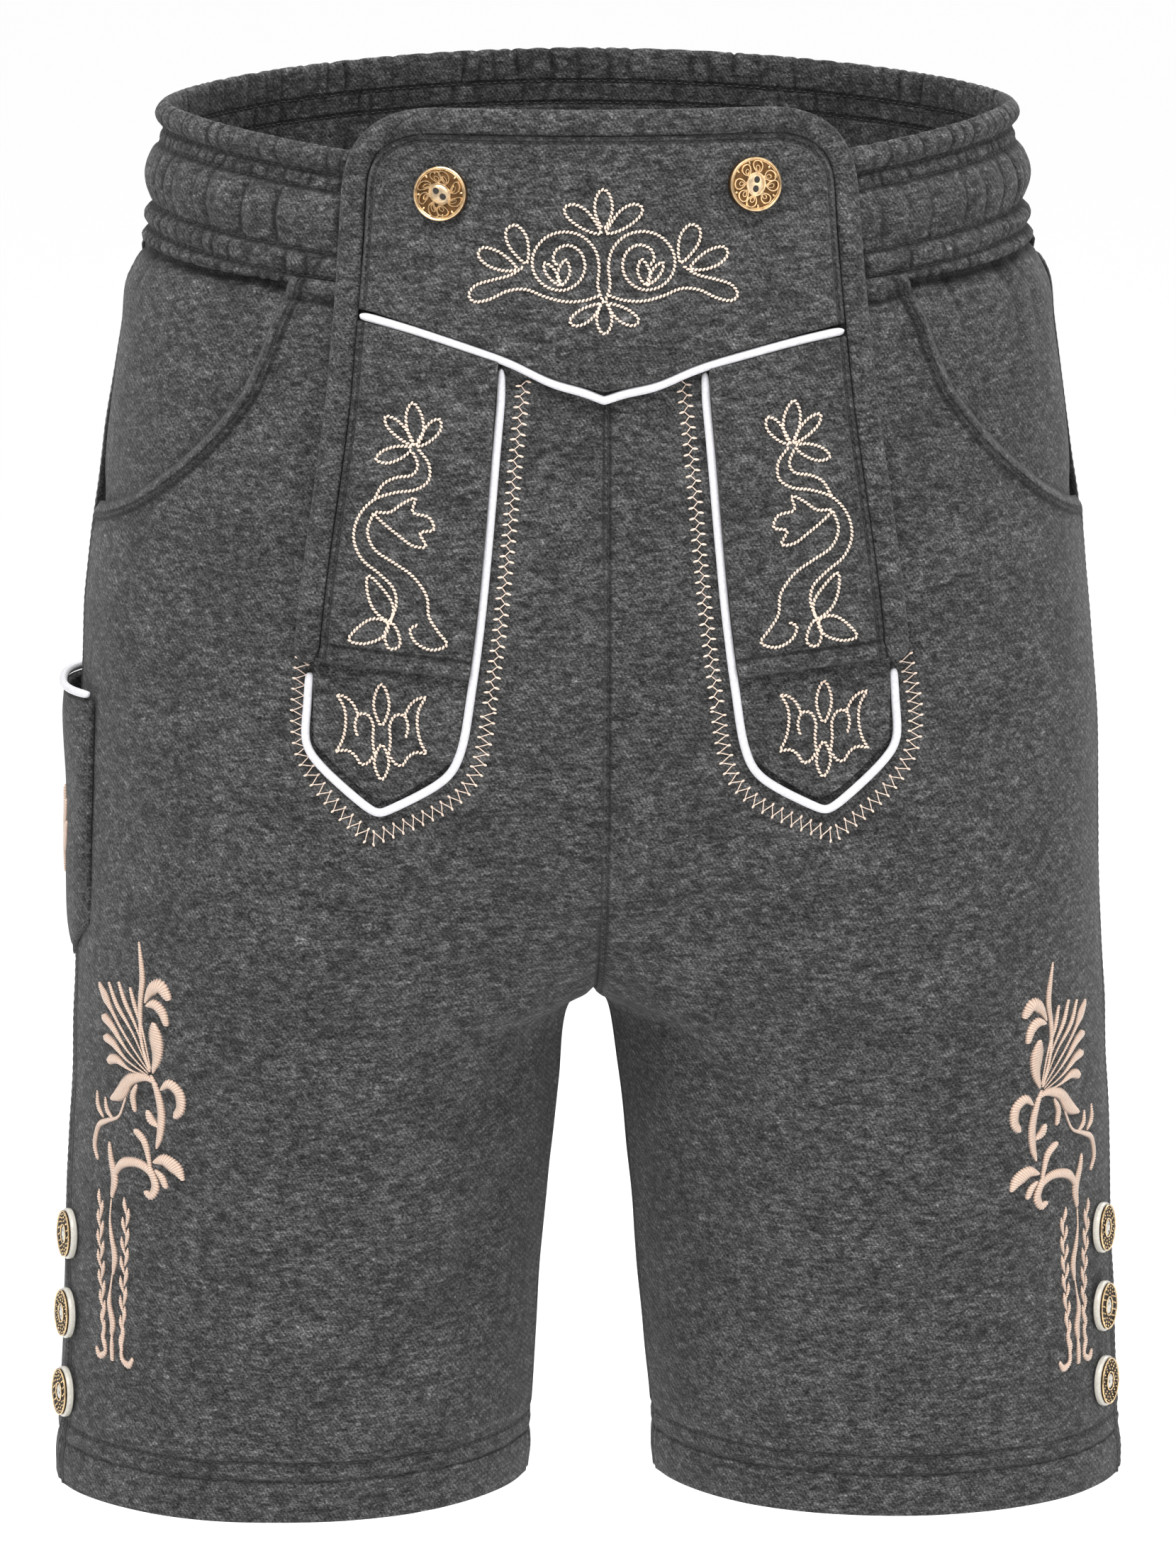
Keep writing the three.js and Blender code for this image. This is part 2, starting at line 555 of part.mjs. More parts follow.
const pipe = { width: 2 * PIPING_RADIUS, height: 2 * PIPING_RADIUS, sides: 6 };
{
  const reach = YOKE_FOOT.halfWidth - 0.9;
  const stops = [-1, -0.78, -0.42, -0.03, 0, 0.03, 0.42, 0.78, 1].map((t) => [t * reach, vSeam(t * reach)]);
  const over = (x, z) => flapLift(x, z) + PIPING_RADIUS - 0.4;
  add("piping_v", tubeAlong(...routeOnFront(stops, 30, over), pipe), PIPING_COLOUR);
}
{
  const start = V_SEAM.tip + 2;
  const t = TONGUE;
  const stops = [
    [seamLine(start), start], [seamLine(-92), -92], [seamLine(-124), -124], [seamLine(-150), -150],
    [seamLine(-176), -176], [t.innerCorner[0] - 1.8, t.innerCorner[1] + 6],
    [t.innerCorner[0] + 3, t.innerCorner[1] - 3.4], [t.tip[0] - 4, t.tip[1] + 1.6], t.tip,
    [t.tip[0] + 4, t.tip[1] + 2.6], [t.outerCorner[0] - 3, t.outerCorner[1] - 3.2],
    [t.outerCorner[0] + 0.6, t.outerCorner[1] + 3], [t.outerTop[0] + 0.9, t.outerTop[1] - 14],
    [t.outerTop[0], t.outerTop[1] - 2],
  ];
  const lift = () => PIPING_RADIUS + LAY_GAP;
  for (const [side, sign] of [["left", 1], ["right", -1]]) {
    const path = stops.map(([x, z]) => [sign * x, z]);
    add(`piping_${side}`, tubeAlong(...routeOnFront(path, 56, lift), pipe), PIPING_COLOUR);
  }
}

// ---------------------------------------------------------------- knife pocket
// Sits over the wearer's right side seam; its mouth stands open, its edges are sewn down.
// finds the body point at a given distance y from the side, on the front or back panel
function onSide(y, z, lift) {
  const half = y < bodyPoint("front", 1, z).y ? "front" : "back";
  let [low, high] = [0.4, 1];
  for (let pass = 0; pass < 30; pass++) {
    const u = (low + high) / 2;
    const outward = half === "front" ? bodyPoint(half, u, z).y < y : bodyPoint(half, u, z).y > y;
    if (outward) low = u;
    else high = u;
  }
  const u = (low + high) / 2;
  const point = bodyPoint(half, u, z).addScaledVector(bodyNormal(half, u, z), lift);
  const normal = bodyNormal(half, u, z);
  return { point: new THREE.Vector3(-point.x, point.y, point.z), normal: normal.setX(-normal.x) };
}

// z height and how far the middle of the pocket stands off the leg
const POCKET_BULGE = [
  { z: -193, off: 5.2 }, { z: -210, off: 4.6 }, { z: -240, off: 2.6 }, { z: -265, off: 2.5 },
  { z: -282, off: 2.8 }, { z: -298, off: 0.4 },
];
{
  const k = KNIFE_POCKET;
  const bottom = (t) => lerp(k.tip, k.shoulder, Math.abs(t) ** 1.15);
  const off = (t, z) => SEAM_GAP + section(POCKET_BULGE, "off", z) * (1 - Math.abs(t) ** 3.4);
  const grid = (extra) => Array.from({ length: k.rows + 1 }, (_, i) => (
    Array.from({ length: k.columns + 1 }, (_, j) => {
      const t = (2 * j) / k.columns - 1;
      const z = lerp(k.mouth, bottom(t), (i / k.rows) ** 0.9);
      return onSide(t * k.halfWidth, z, off(t, z) + extra).point;
    })
  ));
  add("knife_pocket", wall(grid(k.wall), grid(0)), CLOTH_COLOUR);
  const rim = Array.from({ length: k.columns + 1 }, (_, j) => {
    const t = (2 * j) / k.columns - 1;
    const z = k.mouth + PIPING_RADIUS + SEAM_GAP;
    return onSide(t * k.halfWidth, z, off(t, z) + PIPING_RADIUS);
  });
  const edge = tubeAlong(rim.map((r) => r.point), rim.map((r) => r.normal), pipe);
  add("knife_pocket_piping", edge, PIPING_COLOUR);
}

// ---------------------------------------------------------------- buttons
// radius and height pairs of half sections, turned round the button's axis
const FLAP_BUTTON_PROFILE = [
  [0, 0], [5.8, 0], [8.9, 0.9], [9.9, 2.2], [9.8, 3.2], [8.9, 3.7], [8.1, 3.3], [4.9, 3.6], [3.9, 4.2],
  [0, 4.2],
];
const SIDE_BASE_PROFILE = [[0, 0], [7.8, 0], [9.3, 0.5], [9.7, 1.1], [9.4, 1.6], [0, 1.6]];
const SIDE_FACE_PROFILE = [
  [0, 0], [9, 0], [9.6, 0.5], [9.4, 1.3], [8.5, 1.5], [4.6, 1.1], [3.8, 1.6], [0, 1.8],
];
const SIDE_BASE_HEIGHT = 1.6;
const THREAD_SHANK = { flap: 1.2, side: 0.7 };  // how far a button stands off the cloth

function buttonAt(name, profile, sides, place, standOff, colour) {
  const turned = new THREE.LatheGeometry(profile.map(([r, h]) => new THREE.Vector2(r, h)), sides);
  turned.deleteAttribute("normal");
  turned.deleteAttribute("uv");
  const turn = new THREE.Quaternion().setFromUnitVectors(new THREE.Vector3(0, 1, 0), place.normal);
  turned.applyQuaternion(turn);
  const foot = place.point.clone().addScaledVector(place.normal, standOff);
  turned.translate(foot.x, foot.y, foot.z);
  const welded = mergeVertices(turned, 1e-3);
  const triangles = [];
  const index = Array.from(welded.index.array);
  for (let i = 0; i < index.length; i += 3) {
    const [a, b, c] = index.slice(i, i + 3);
    if (a !== b && b !== c && a !== c) triangles.push(a, b, c);
  }
  add(name, closedGeometry(Array.from(welded.attributes.position.array), triangles), colour);
}

for (const { side, x, z } of FLAP_BUTTONS) {
  const place = onFront(x, z, flapLift(Math.abs(x), z) + YOKE_CLOTH);
  buttonAt(`flap_button_${side}`, FLAP_BUTTON_PROFILE, 24, place, THREAD_SHANK.flap, GOLD);
}

// heights of the three side buttons and the y they sit at on each leg
const SIDE_BUTTONS = [
  { side: "left", sign: 1, y: -42, heights: [-398.2, -428.8, -458.1] },
  { side: "right", sign: -1, y: -28, heights: [-399.9, -430.8, -461.6] },
];
for (const { side, sign, y, heights } of SIDE_BUTTONS) {
  heights.forEach((z, i) => {
    const place = onSide(y, z, 0);
    if (sign > 0) {
      place.point.x = -place.point.x;
      place.normal.x = -place.normal.x;
    }
    buttonAt(`side_button_${side}_${i + 1}_base`, SIDE_BASE_PROFILE, 16, place, THREAD_SHANK.side, CREAM);
    const faceFoot = THREAD_SHANK.side + SIDE_BASE_HEIGHT + SEAM_GAP;
    buttonAt(`side_button_${side}_${i + 1}_face`, SIDE_FACE_PROFILE, 16, place, faceFoot, GOLD);
  });
}

export default garment;
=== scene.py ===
import json
import math
import random
from contextlib import contextmanager

import bpy
import numpy as np
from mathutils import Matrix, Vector, noise
from mathutils.bvhtree import BVHTree
from mathutils.kdtree import KDTree

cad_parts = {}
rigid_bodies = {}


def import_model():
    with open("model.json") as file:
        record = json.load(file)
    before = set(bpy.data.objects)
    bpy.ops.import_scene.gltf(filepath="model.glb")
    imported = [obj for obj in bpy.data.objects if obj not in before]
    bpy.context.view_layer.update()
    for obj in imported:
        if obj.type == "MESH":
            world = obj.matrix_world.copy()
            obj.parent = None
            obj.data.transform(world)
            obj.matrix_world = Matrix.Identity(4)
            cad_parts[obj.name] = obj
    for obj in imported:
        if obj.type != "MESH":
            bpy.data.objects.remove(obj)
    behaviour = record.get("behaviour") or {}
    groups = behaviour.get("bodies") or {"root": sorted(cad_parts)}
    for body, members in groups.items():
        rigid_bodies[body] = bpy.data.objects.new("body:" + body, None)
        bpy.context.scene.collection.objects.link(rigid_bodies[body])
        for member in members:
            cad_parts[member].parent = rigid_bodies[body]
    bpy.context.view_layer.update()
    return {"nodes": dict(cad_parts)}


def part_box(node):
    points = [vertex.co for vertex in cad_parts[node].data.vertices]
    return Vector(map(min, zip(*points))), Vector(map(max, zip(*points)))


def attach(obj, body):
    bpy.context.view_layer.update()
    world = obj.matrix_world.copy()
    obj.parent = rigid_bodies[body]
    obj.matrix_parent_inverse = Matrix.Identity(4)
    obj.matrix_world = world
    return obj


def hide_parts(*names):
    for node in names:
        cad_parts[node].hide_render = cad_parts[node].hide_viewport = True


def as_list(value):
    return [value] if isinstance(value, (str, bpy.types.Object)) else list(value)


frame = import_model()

MM = 0.001

# Sizes of the garment that the sewing below follows, in metres: the cloth, and how far each sewn row
# lies from its edge.
CLOTH = 2 * MM
POCKET_CLOTH_THICK = 1.4 * MM
HEM_ROWS = (16 * MM, 23 * MM)
BAND_ROWS = (10 * MM, 15.5 * MM, 38 * MM, 47 * MM, 53 * MM)   # below the rim, outside
BAND_INSIDE_ROWS = (13 * MM, 21.5 * MM)
SEAM_ROWS = (0.3 * MM, 4.4 * MM, 6.2 * MM)    # beside the pocket mouth and the side seam
CENTRE_ROW = 2.2 * MM
FLAP_ROW, FLAP_HEM_ROW = 2.1 * MM, 6.4 * MM
KNIFE_POCKET_ROW = 1.6 * MM
SIDES = (("left", 1), ("right", -1))          # the wearer's left is +X


# ---------------------------------------------------------------- camera, floor and light
VIEW_TARGET = Vector((0, 0, -0.233))
VIEW_DISTANCE = 3.1
VIEW_ELEVATION = math.radians(10)
VIEW_TURN = math.radians(-2.5)
LENS = 186.85
FLOOR_HEIGHT, FLOOR_SIZE = -1.0, 60
SURROUND_LOW, SURROUND_ABOVE, SURROUND_FRONT = 0.22, 1.0, 0.3    # strengths of the soft surround
SOFTBOXES = {                 # place, size in metres, power in watts
    "key_softbox": ((-0.5, -1.7, 1.9), (1.5, 1.0), 41),
    "fill_softbox": ((1.6, -1.9, 0.6), (1.2, 1.4), 6.5),
    "rear_softbox": ((0.6, 2.2, 1.6), (2.2, 1.4), 34),
    "top_softbox": ((0.1, -0.7, 2.4), (1.2, 1.0), 25),
}


def make_camera():
    flat = math.cos(VIEW_ELEVATION)
    back = Vector((math.sin(VIEW_TURN) * flat, -math.cos(VIEW_TURN) * flat, math.sin(VIEW_ELEVATION)))
    bpy.ops.object.camera_add(location=VIEW_TARGET + VIEW_DISTANCE * back)
    camera = bpy.context.object
    camera.rotation_euler = (-back).to_track_quat("-Z", "Y").to_euler()
    camera.data.lens = LENS
    bpy.context.scene.camera = camera


def make_softboxes():
    for name, (place, size, power) in SOFTBOXES.items():
        bpy.ops.object.light_add(type="AREA", location=place)
        lamp = bpy.context.object
        lamp.name = name
        lamp.data.shape = "RECTANGLE"
        lamp.data.size, lamp.data.size_y = size
        lamp.data.energy = power
        lamp.rotation_euler = (VIEW_TARGET - Vector(place)).to_track_quat("-Z", "Y").to_euler()


def make_surround():
    """Soft light from all round, strongest overhead; where it is seen itself it is plain white."""
    world = bpy.data.worlds.new("studio")
    bpy.context.scene.world = world
    world.use_nodes = True
    tree = world.node_tree
    surround = tree.nodes["Background"]
    surround.inputs["Color"].default_value = grey(1)
    way = tree.nodes.new("ShaderNodeTexCoord").outputs["Generated"]
    direction = place_node(tree, "ShaderNodeSeparateXYZ", Vector=way)
    overhead = maths(tree, "MAXIMUM", direction.outputs["Z"], 0.0)
    in_front = maths(tree, "MAXIMUM", maths(tree, "MULTIPLY", direction.outputs["Y"], -1.0), 0.0)
    soft = maths(tree, "MULTIPLY_ADD", overhead, SURROUND_ABOVE, SURROUND_LOW)
    soft = maths(tree, "MULTIPLY_ADD", in_front, SURROUND_FRONT, soft)
    in_sight = tree.nodes.new("ShaderNodeLightPath").outputs["Is Camera Ray"]
    tree.links.new(maths(tree, "MAXIMUM", soft, in_sight), surround.inputs["Strength"])
    bpy.context.scene.view_settings.view_transform = "Standard"


def make_floor():
    bpy.ops.object.select_all(action="DESELECT")
    bpy.ops.mesh.primitive_plane_add(size=FLOOR_SIZE, location=(0, 0, FLOOR_HEIGHT))
    floor = bpy.context.object
    floor.name = "floor"
    paper, _, shader = new_material("pale_floor")
    set_finish(shader, Base_Color=grey(0.92), Roughness=0.9,
               Emission_Color=grey(1), Emission_Strength=0.12)
    floor.data.materials.append(paper)


# ---------------------------------------------------------------- node helpers
def place_node(tree, kind, settings=(), **inputs):
    """Adds a node; an input given as a socket is linked, any other value is set. _0 is the first input."""
    node = tree.nodes.new(kind)
    for key, value in dict(settings).items():
        setattr(node, key, value)
    for key, value in inputs.items():
        slot = node.inputs[int(key[1:])] if key[0] == "_" else node.inputs[key.replace("_", " ")]
        if isinstance(value, bpy.types.NodeSocket):
            tree.links.new(value, slot)
        else:
            slot.default_value = value
    return node


def maths(tree, operation, *values):
    inputs = {f"_{i}": value for i, value in enumerate(values)}
    return place_node(tree, "ShaderNodeMath", {"operation": operation}, **inputs).outputs[0]


def mix_colours(tree, share, first, second, how="MIX"):
    settings = {"data_type": "RGBA", "blend_type": how}
    return place_node(tree, "ShaderNodeMix", settings, _0=share, _6=first, _7=second).outputs[2]


def ramp(tree, value, stops, ease="LINEAR"):
    node = place_node(tree, "ShaderNodeValToRGB", Fac=value)
    node.color_ramp.interpolation = ease
    elements = node.color_ramp.elements
    while len(elements) < len(stops):
        elements.new(0.5)
    for element, (position, colour) in zip(elements, stops):
        element.position = position
        element.color = colour if len(colour) == 4 else (*colour, 1)
    return node.outputs[0]


def grey(value):
    return (value, value, value, 1)


def effect_group(name, inputs, outputs):
    """A node group with named sockets: inputs as (name, default), outputs as (name, kind)."""
    tree = bpy.data.node_groups.new(name, "ShaderNodeTree")
    for label, default in inputs:
        socket = tree.interface.new_socket(label, in_out="INPUT", socket_type="NodeSocketFloat")
        socket.default_value = default
    for label, kind in outputs:
        tree.interface.new_socket(label, in_out="OUTPUT", socket_type=kind)
    return tree, tree.nodes.new("NodeGroupInput"), tree.nodes.new("NodeGroupOutput")


def use_group(tree, group, **inputs):
    return place_node(tree, "ShaderNodeGroup", {"node_tree": group}, **inputs)


def object_place(tree):
    return tree.nodes.new("ShaderNodeTexCoord").outputs["Object"]


def stored(tree, name):
    """What a piece keeps under a name at each of its points."""
    return place_node(tree, "ShaderNodeAttribute", {"attribute_name": name})


def new_material(name):
    material = bpy.data.materials.new(name)
    material.use_nodes = True
    return material, material.node_tree, material.node_tree.nodes["Principled BSDF"]


def set_finish(shader, **values):
    for key, value in values.items():
        shader.inputs[key.replace("_", " ")].default_value = value


# ---------------------------------------------------------------- shared effects
def heather_group():
    """Mixed light and dark fibres: soft flecks that lie level, with a fine diagonal rib."""
    tree, given, result = effect_group(
        "heather", [("Depth", 1.0)], [("Colour", "NodeSocketColor"), ("Nap", "NodeSocketFloat")])
    place = object_place(tree)

    def noise_at(stretch, scale, detail, rough, seed=0.0, twist=0.0):
        moved = place_node(tree, "ShaderNodeMapping", Vector=place, Scale=stretch,
                           Location=(seed, seed * 0.7, seed * 1.3))
        return place_node(tree, "ShaderNodeTexNoise", Vector=moved.outputs[0], Scale=scale, Detail=detail,
                          Roughness=rough, Distortion=twist).outputs[0]

    def shade(value, low, high, dark, light):
        return ramp(tree, value, [(low, grey(dark)), (high, grey(light))], "EASE")

    clouds = noise_at((1, 1, 1.6), 38, 3, 0.55, 1.3)
    flecks = noise_at((1, 1, 2.7), 260, 5, 0.70, 2.1, 0.25)
    dark = noise_at((1, 1, 2.2), 190, 4, 0.70, 5.2, 0.3)
    fibres = noise_at((1, 1, 1.4), 1100, 3, 0.7, 7.7, 0.6)
    hairs = noise_at((0.6, 0.6, 5.0), 380, 2, 0.5, 9.1, 1.2)
    turned = place_node(tree, "ShaderNodeMapping", Vector=place, Rotation=(0, math.radians(32), 0))
    rib = place_node(tree, "ShaderNodeTexWave", {"bands_direction": "X"}, Vector=turned.outputs[0],
                     Scale=260.0, Distortion=2.2, Detail=2.0, Detail_Scale=3.0).outputs["Fac"]
    base = ramp(tree, flecks, [(0.34, grey(0.026)), (0.47, grey(0.046)),
                               (0.58, grey(0.070)), (0.72, grey(0.140))])
    for layer in (shade(dark, 0.36, 0.62, 0.50, 1.20), shade(clouds, 0.3, 0.7, 0.84, 1.16),
                  shade(fibres, 0.32, 0.68, 0.24, 2.06), shade(rib, 0.1, 0.9, 0.80, 1.20)):
        base = mix_colours(tree, 1.0, base, layer, "MULTIPLY")
    bright = maths(tree, "MULTIPLY", shade(hairs, 0.66, 0.78, 0, 1), 0.22)
    tree.links.new(mix_colours(tree, bright, base, grey(0.2)), result.inputs["Colour"])
    nap = maths(tree, "MULTIPLY_ADD", flecks, 0.4, maths(tree, "MULTIPLY", rib, 0.16))
    nap = maths(tree, "MULTIPLY_ADD", fibres, 0.7, nap)
    tree.links.new(maths(tree, "MULTIPLY", nap, given.outputs["Depth"]), result.inputs["Nap"])
    return tree


def furrow_group():
    """The furrow that a stitched row presses into cloth, from the distance to its edge or rim."""
    tree, given, result = effect_group(
        "stitched_furrow", [("Distance", 1.0), ("Row", 0.002), ("Width", 0.0012)],
        [("Furrow", "NodeSocketFloat")])
    off = maths(tree, "ABSOLUTE", maths(tree, "SUBTRACT", given.outputs["Distance"], given.outputs["Row"]))
    near = maths(tree, "MINIMUM", maths(tree, "DIVIDE", off, given.outputs["Width"]), 1.0)
    furrow = maths(tree, "SUBTRACT", 1.0, maths(tree, "MULTIPLY", near, near))
    tree.links.new(furrow, result.inputs["Furrow"])
    return tree


NAP_HEIGHT = 0.6 * MM
FURROW_DEPTH = 0.8 * MM
CREASE_SHADE_DARKNESS, CREASE_SHADE_GREY = 0.86, 0.006    # how dark the painted shade in a furrow or crease is, and its grey
SIDE_SEWN, HEM_SEWN, THIRD_SEWN = 0, 1, 2     # the three distances that a piece stores as "sewn"


def cloth_material(name, heather, furrow, rows=(), width=1.3 * MM, darkness=0.8):
    """Sweat cloth, its colour darkened by painted shade in creases and stitched furrows. rows are stitched
    rows: (which of the sewn distances, how far).
    """
    material, tree, shader = new_material(name)
    fabric = use_group(tree, heather, Depth=1.0)
    height = maths(tree, "MULTIPLY", fabric.outputs["Nap"], NAP_HEIGHT)
    away = place_node(tree, "ShaderNodeSeparateXYZ", Vector=stored(tree, "sewn").outputs["Vector"])
    # Painted shade: the colour goes towards a dark grey by the stored crease depth and in each stitched
    # furrow.
    dark = stored(tree, "crease").outputs["Fac"]
    for which, row in rows:
        part = use_group(tree, furrow, Distance=away.outputs[which], Row=row, Width=width).outputs[0]
        height = maths(tree, "MULTIPLY_ADD", part, -FURROW_DEPTH, height)
        dark = maths(tree, "MAXIMUM", dark, maths(tree, "MULTIPLY", part, darkness))
    dark = maths(tree, "MULTIPLY", dark, CREASE_SHADE_DARKNESS)
    colour = mix_colours(tree, dark, fabric.outputs["Colour"], grey(CREASE_SHADE_GREY))
    bump = place_node(tree, "ShaderNodeBump", Height=height, Strength=0.85, Distance=1.0)
    tree.links.new(colour, shader.inputs["Base Color"])
    tree.links.new(bump.outputs[0], shader.inputs["Normal"])
    set_finish(shader, Roughness=0.92, Sheen_Weight=0.10, Sheen_Roughness=0.45, Specular_IOR_Level=0.2)
    return material


def satin_material(name, colour, roughness=0.45, sheen=0.2, coat=0.0, gap_shade=None):
    """Thread and satin: a smooth coloured surface with a soft gloss, and a painted shade colour between
    its threads.
    """
    material, tree, shader = new_material(name)
    place = object_place(tree)
    grain = place_node(tree, "ShaderNodeTexNoise", Vector=place, Scale=900.0, Detail=2.0).outputs[0]
    dim, lit = (tuple(c * k for c in colour) for k in (0.84, 1.0))
    tone = ramp(tree, grain, [(0.3, dim), (0.65, lit)])
    # Painted shade: the colour goes towards the given gap colour by the stored crease depth, between
    # threads and at the sides of strokes.
    if gap_shade:
        tone = mix_colours(tree, stored(tree, "crease").outputs["Fac"], tone, (*gap_shade, 1))
    tree.links.new(tone, shader.inputs["Base Color"])
    bump = place_node(tree, "ShaderNodeBump", Height=grain, Strength=0.25, Distance=0.0003)
    tree.links.new(bump.outputs[0], shader.inputs["Normal"])
    set_finish(shader, Roughness=roughness, Sheen_Weight=sheen, Coat_Weight=coat)
    return material


# ---------------------------------------------------------------- mesh helpers
def only(piece):
    """Makes piece the one thing that the operators act on."""
    bpy.ops.object.select_all(action="DESELECT")
    piece.select_set(True)
    bpy.context.view_layer.objects.active = piece


@contextmanager
def edit_mode(piece, select="SELECT"):
    """Edit mode on one piece, with all of it selected, or nothing, or (with None) what was before."""
    only(piece)
    bpy.ops.object.mode_set(mode="EDIT")
    if select:
        bpy.ops.mesh.select_all(action=select)
    yield
    bpy.ops.object.mode_set(mode="OBJECT")


def apply_modifier(piece, kind, **settings):
    only(piece)
    modifier = piece.modifiers.new(kind.lower(), kind)
    for key, value in settings.items():
        setattr(modifier, key, value)
    bpy.ops.object.modifier_apply(modifier=modifier.name)


def subdivide_smoothly(piece, levels=3):
    apply_modifier(piece, "SUBSURF", levels=levels, render_levels=levels,
                   boundary_smooth="PRESERVE_CORNERS")


def points_of(piece, kind="co"):
    flat = np.empty(3 * len(piece.data.vertices), np.float32)
    piece.data.vertices.foreach_get(kind, flat)
    return flat.reshape(-1, 3).astype(float)


def normals_of(piece):
    return points_of(piece, "normal")


def surface_of(piece):
    """A piece's surface, for rays and for nearest points."""
    faces = [list(face.vertices) for face in piece.data.polygons]
    return BVHTree.FromPolygons([Vector(p) for p in points_of(piece)], faces)


def move_points(piece, points):
    piece.data.vertices.foreach_set("co", points.astype(np.float32).ravel())
    piece.data.update()


def copy_node(node, name):
    """A copy of a CAD node with its doubles merged, tied to nothing."""
    source = frame["nodes"][node]
    piece = source.copy()
    piece.data = source.data.copy()
    piece.name = name
    piece.data.name = name
    piece.parent = None
    for key in list(piece.keys()):
        del piece[key]
    piece.data.materials.clear()
    bpy.context.scene.collection.objects.link(piece)
    with edit_mode(piece, None):
        bpy.ops.mesh.select_mode(type="FACE")
        bpy.ops.mesh.select_all(action="SELECT")
        bpy.ops.mesh.remove_doubles(threshold=0.01 * MM)
        bpy.ops.mesh.customdata_custom_splitnormals_clear()
    return piece


def to_quads(piece):
    with edit_mode(piece):
        bpy.ops.mesh.tris_convert_to_quads(
            face_threshold=math.pi, shape_threshold=math.pi, topology_influence=1.0)


def outer_sheet(node, name, thickness, towards):
    """The outer side of a cloth wall as an open sheet of quads."""
    piece = copy_node(node, name)
    corners = piece.data.vertices
    with edit_mode(piece, "DESELECT"):
        pass
    for face in piece.data.polygons:
        lengths = [(corners[a].co - corners[b].co).length for a, b in face.edge_keys]
        face.select = any(abs(length - thickness) < 0.08 * thickness for length in lengths)
    with edit_mode(piece, None):
        bpy.ops.mesh.delete(type="FACE")
        bpy.ops.mesh.select_all(action="DESELECT")
    max(piece.data.polygons, key=lambda face: face.center.dot(Vector(towards))).select = True
    with edit_mode(piece, None):
        bpy.ops.mesh.select_linked()
        bpy.ops.mesh.select_all(action="INVERT")
        bpy.ops.mesh.delete(type="FACE")
    to_quads(piece)
    return piece


def finish_piece(piece, material, replaces=(), slot="sweat_cloth"):
    piece.data.materials.clear()
    piece.data.materials.append(material)
    only(piece)
    bpy.ops.object.shade_smooth()
    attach(piece, "root")
    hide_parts(*replaces)


def border_chains(piece):
    """The four borders of an open sheet, between its corners, as lists of vertex numbers."""
    uses = {}
    for face in piece.data.polygons:
        for key in face.edge_keys:
            uses[key] = uses.get(key, 0) + 1
    reach = {}
    for key in uses:
        for end in key:
            reach[end] = reach.get(end, 0) + 1
    beside = {}
    for (a, b), count in uses.items():
        if count == 1:
            beside.setdefault(a, []).append(b)
            beside.setdefault(b, []).append(a)
    corners = [v for v in beside if reach[v] == 2]
    chains = []
    for corner in corners:
        for step in beside[corner]:
            chain = [corner, step]
            while chain[-1] not in corners:
                chain.append(next(v for v in beside[chain[-1]] if v != chain[-2]))
            if chain[0] < chain[-1]:
                chains.append(chain)
    return chains


def nearest_stops(points, line):
    """For every point, the number of the nearest stop of a closely spaced line, and the distance to it."""
    tree = KDTree(len(line))
    for i, spot in enumerate(line):
        tree.insert(spot, i)
    tree.balance()
    found = [tree.find(spot) for spot in points]
    return np.array([hit[1] for hit in found]), np.array([hit[2] for hit in found])


def distances_to(points, line):
    return nearest_stops(points, line)[1]


def lengths_along(line):
    return np.concatenate([[0], np.cumsum(np.linalg.norm(np.diff(line, axis=0), axis=1))])


def even_line(line, step, fewest=2, measured=3):
    """A line of points at an even step along the given one, measured over its first few columns."""
    line = np.asarray(line, float)
    lengths = lengths_along(line[:, :measured])
    places = np.linspace(0, lengths[-1], max(fewest, int(round(lengths[-1] / step)) + 1))
    return np.stack([np.interp(places, lengths, column) for column in line.T], axis=1)


def curve_through(stops, count):
    """Points of a smooth curve from the second stop to the last but one, count of them to each gap."""
    curve = []
    for before, start, end, after in zip(stops, stops[1:], stops[2:], stops[3:]):
        for t in np.linspace(0, 1, count + 1)[:-1]:
            curve.append(0.5 * (2 * start + (end - before) * t
                                + (2 * before - 5 * start + 4 * end - after) * t * t
                                + (3 * start - before - 3 * end + after) * t ** 3))
    return curve


make_camera()
make_softboxes()
make_surround()
make_floor()
HEATHER = heather_group()
FURROW = furrow_group()
PANEL_CLOTH = cloth_material(
    "sweat_cloth_panels", HEATHER, FURROW,
    [(SIDE_SEWN, row) for row in SEAM_ROWS] + [(HEM_SEWN, row) for row in HEM_ROWS]
    + [(THIRD_SEWN, 0.2 * MM), (THIRD_SEWN, CENTRE_ROW)], 0.9 * MM)
BAND_CLOTH = cloth_material(
    "sweat_cloth_waistband", HEATHER, FURROW,
    [(THIRD_SEWN, row) for row in BAND_ROWS] + [(THIRD_SEWN, -row) for row in BAND_INSIDE_ROWS],
    1.4 * MM, 0.9)
FLAP_CLOTH = cloth_material(
    "sweat_cloth_flap", HEATHER, FURROW,
    [(SIDE_SEWN, 0.1 * MM), (SIDE_SEWN, FLAP_ROW), (HEM_SEWN, 0.1 * MM), (HEM_SEWN, FLAP_HEM_ROW)],
    0.95 * MM)
POCKET_CLOTH = cloth_material(
    "sweat_cloth_knife_pocket", HEATHER, FURROW, [(SIDE_SEWN, KNIFE_POCKET_ROW)], 0.6 * MM)
PLAIN_CLOTH = cloth_material("sweat_cloth", HEATHER, FURROW)
WHITE_SATIN = satin_material("white_satin", (0.74, 0.73, 0.765), 0.42, 0.2, 0.05)


# ---------------------------------------------------------------- folds and gathers
def line_through(stops):
    """A smooth line through a few stops, as closely spaced points."""
    stops = [np.array(stop, float) for stop in stops]
    padded = [2 * stops[0] - stops[1], *stops, 2 * stops[-1] - stops[-2]]
    return even_line(curve_through(padded, 12) + [stops[-1]], 3 * MM)


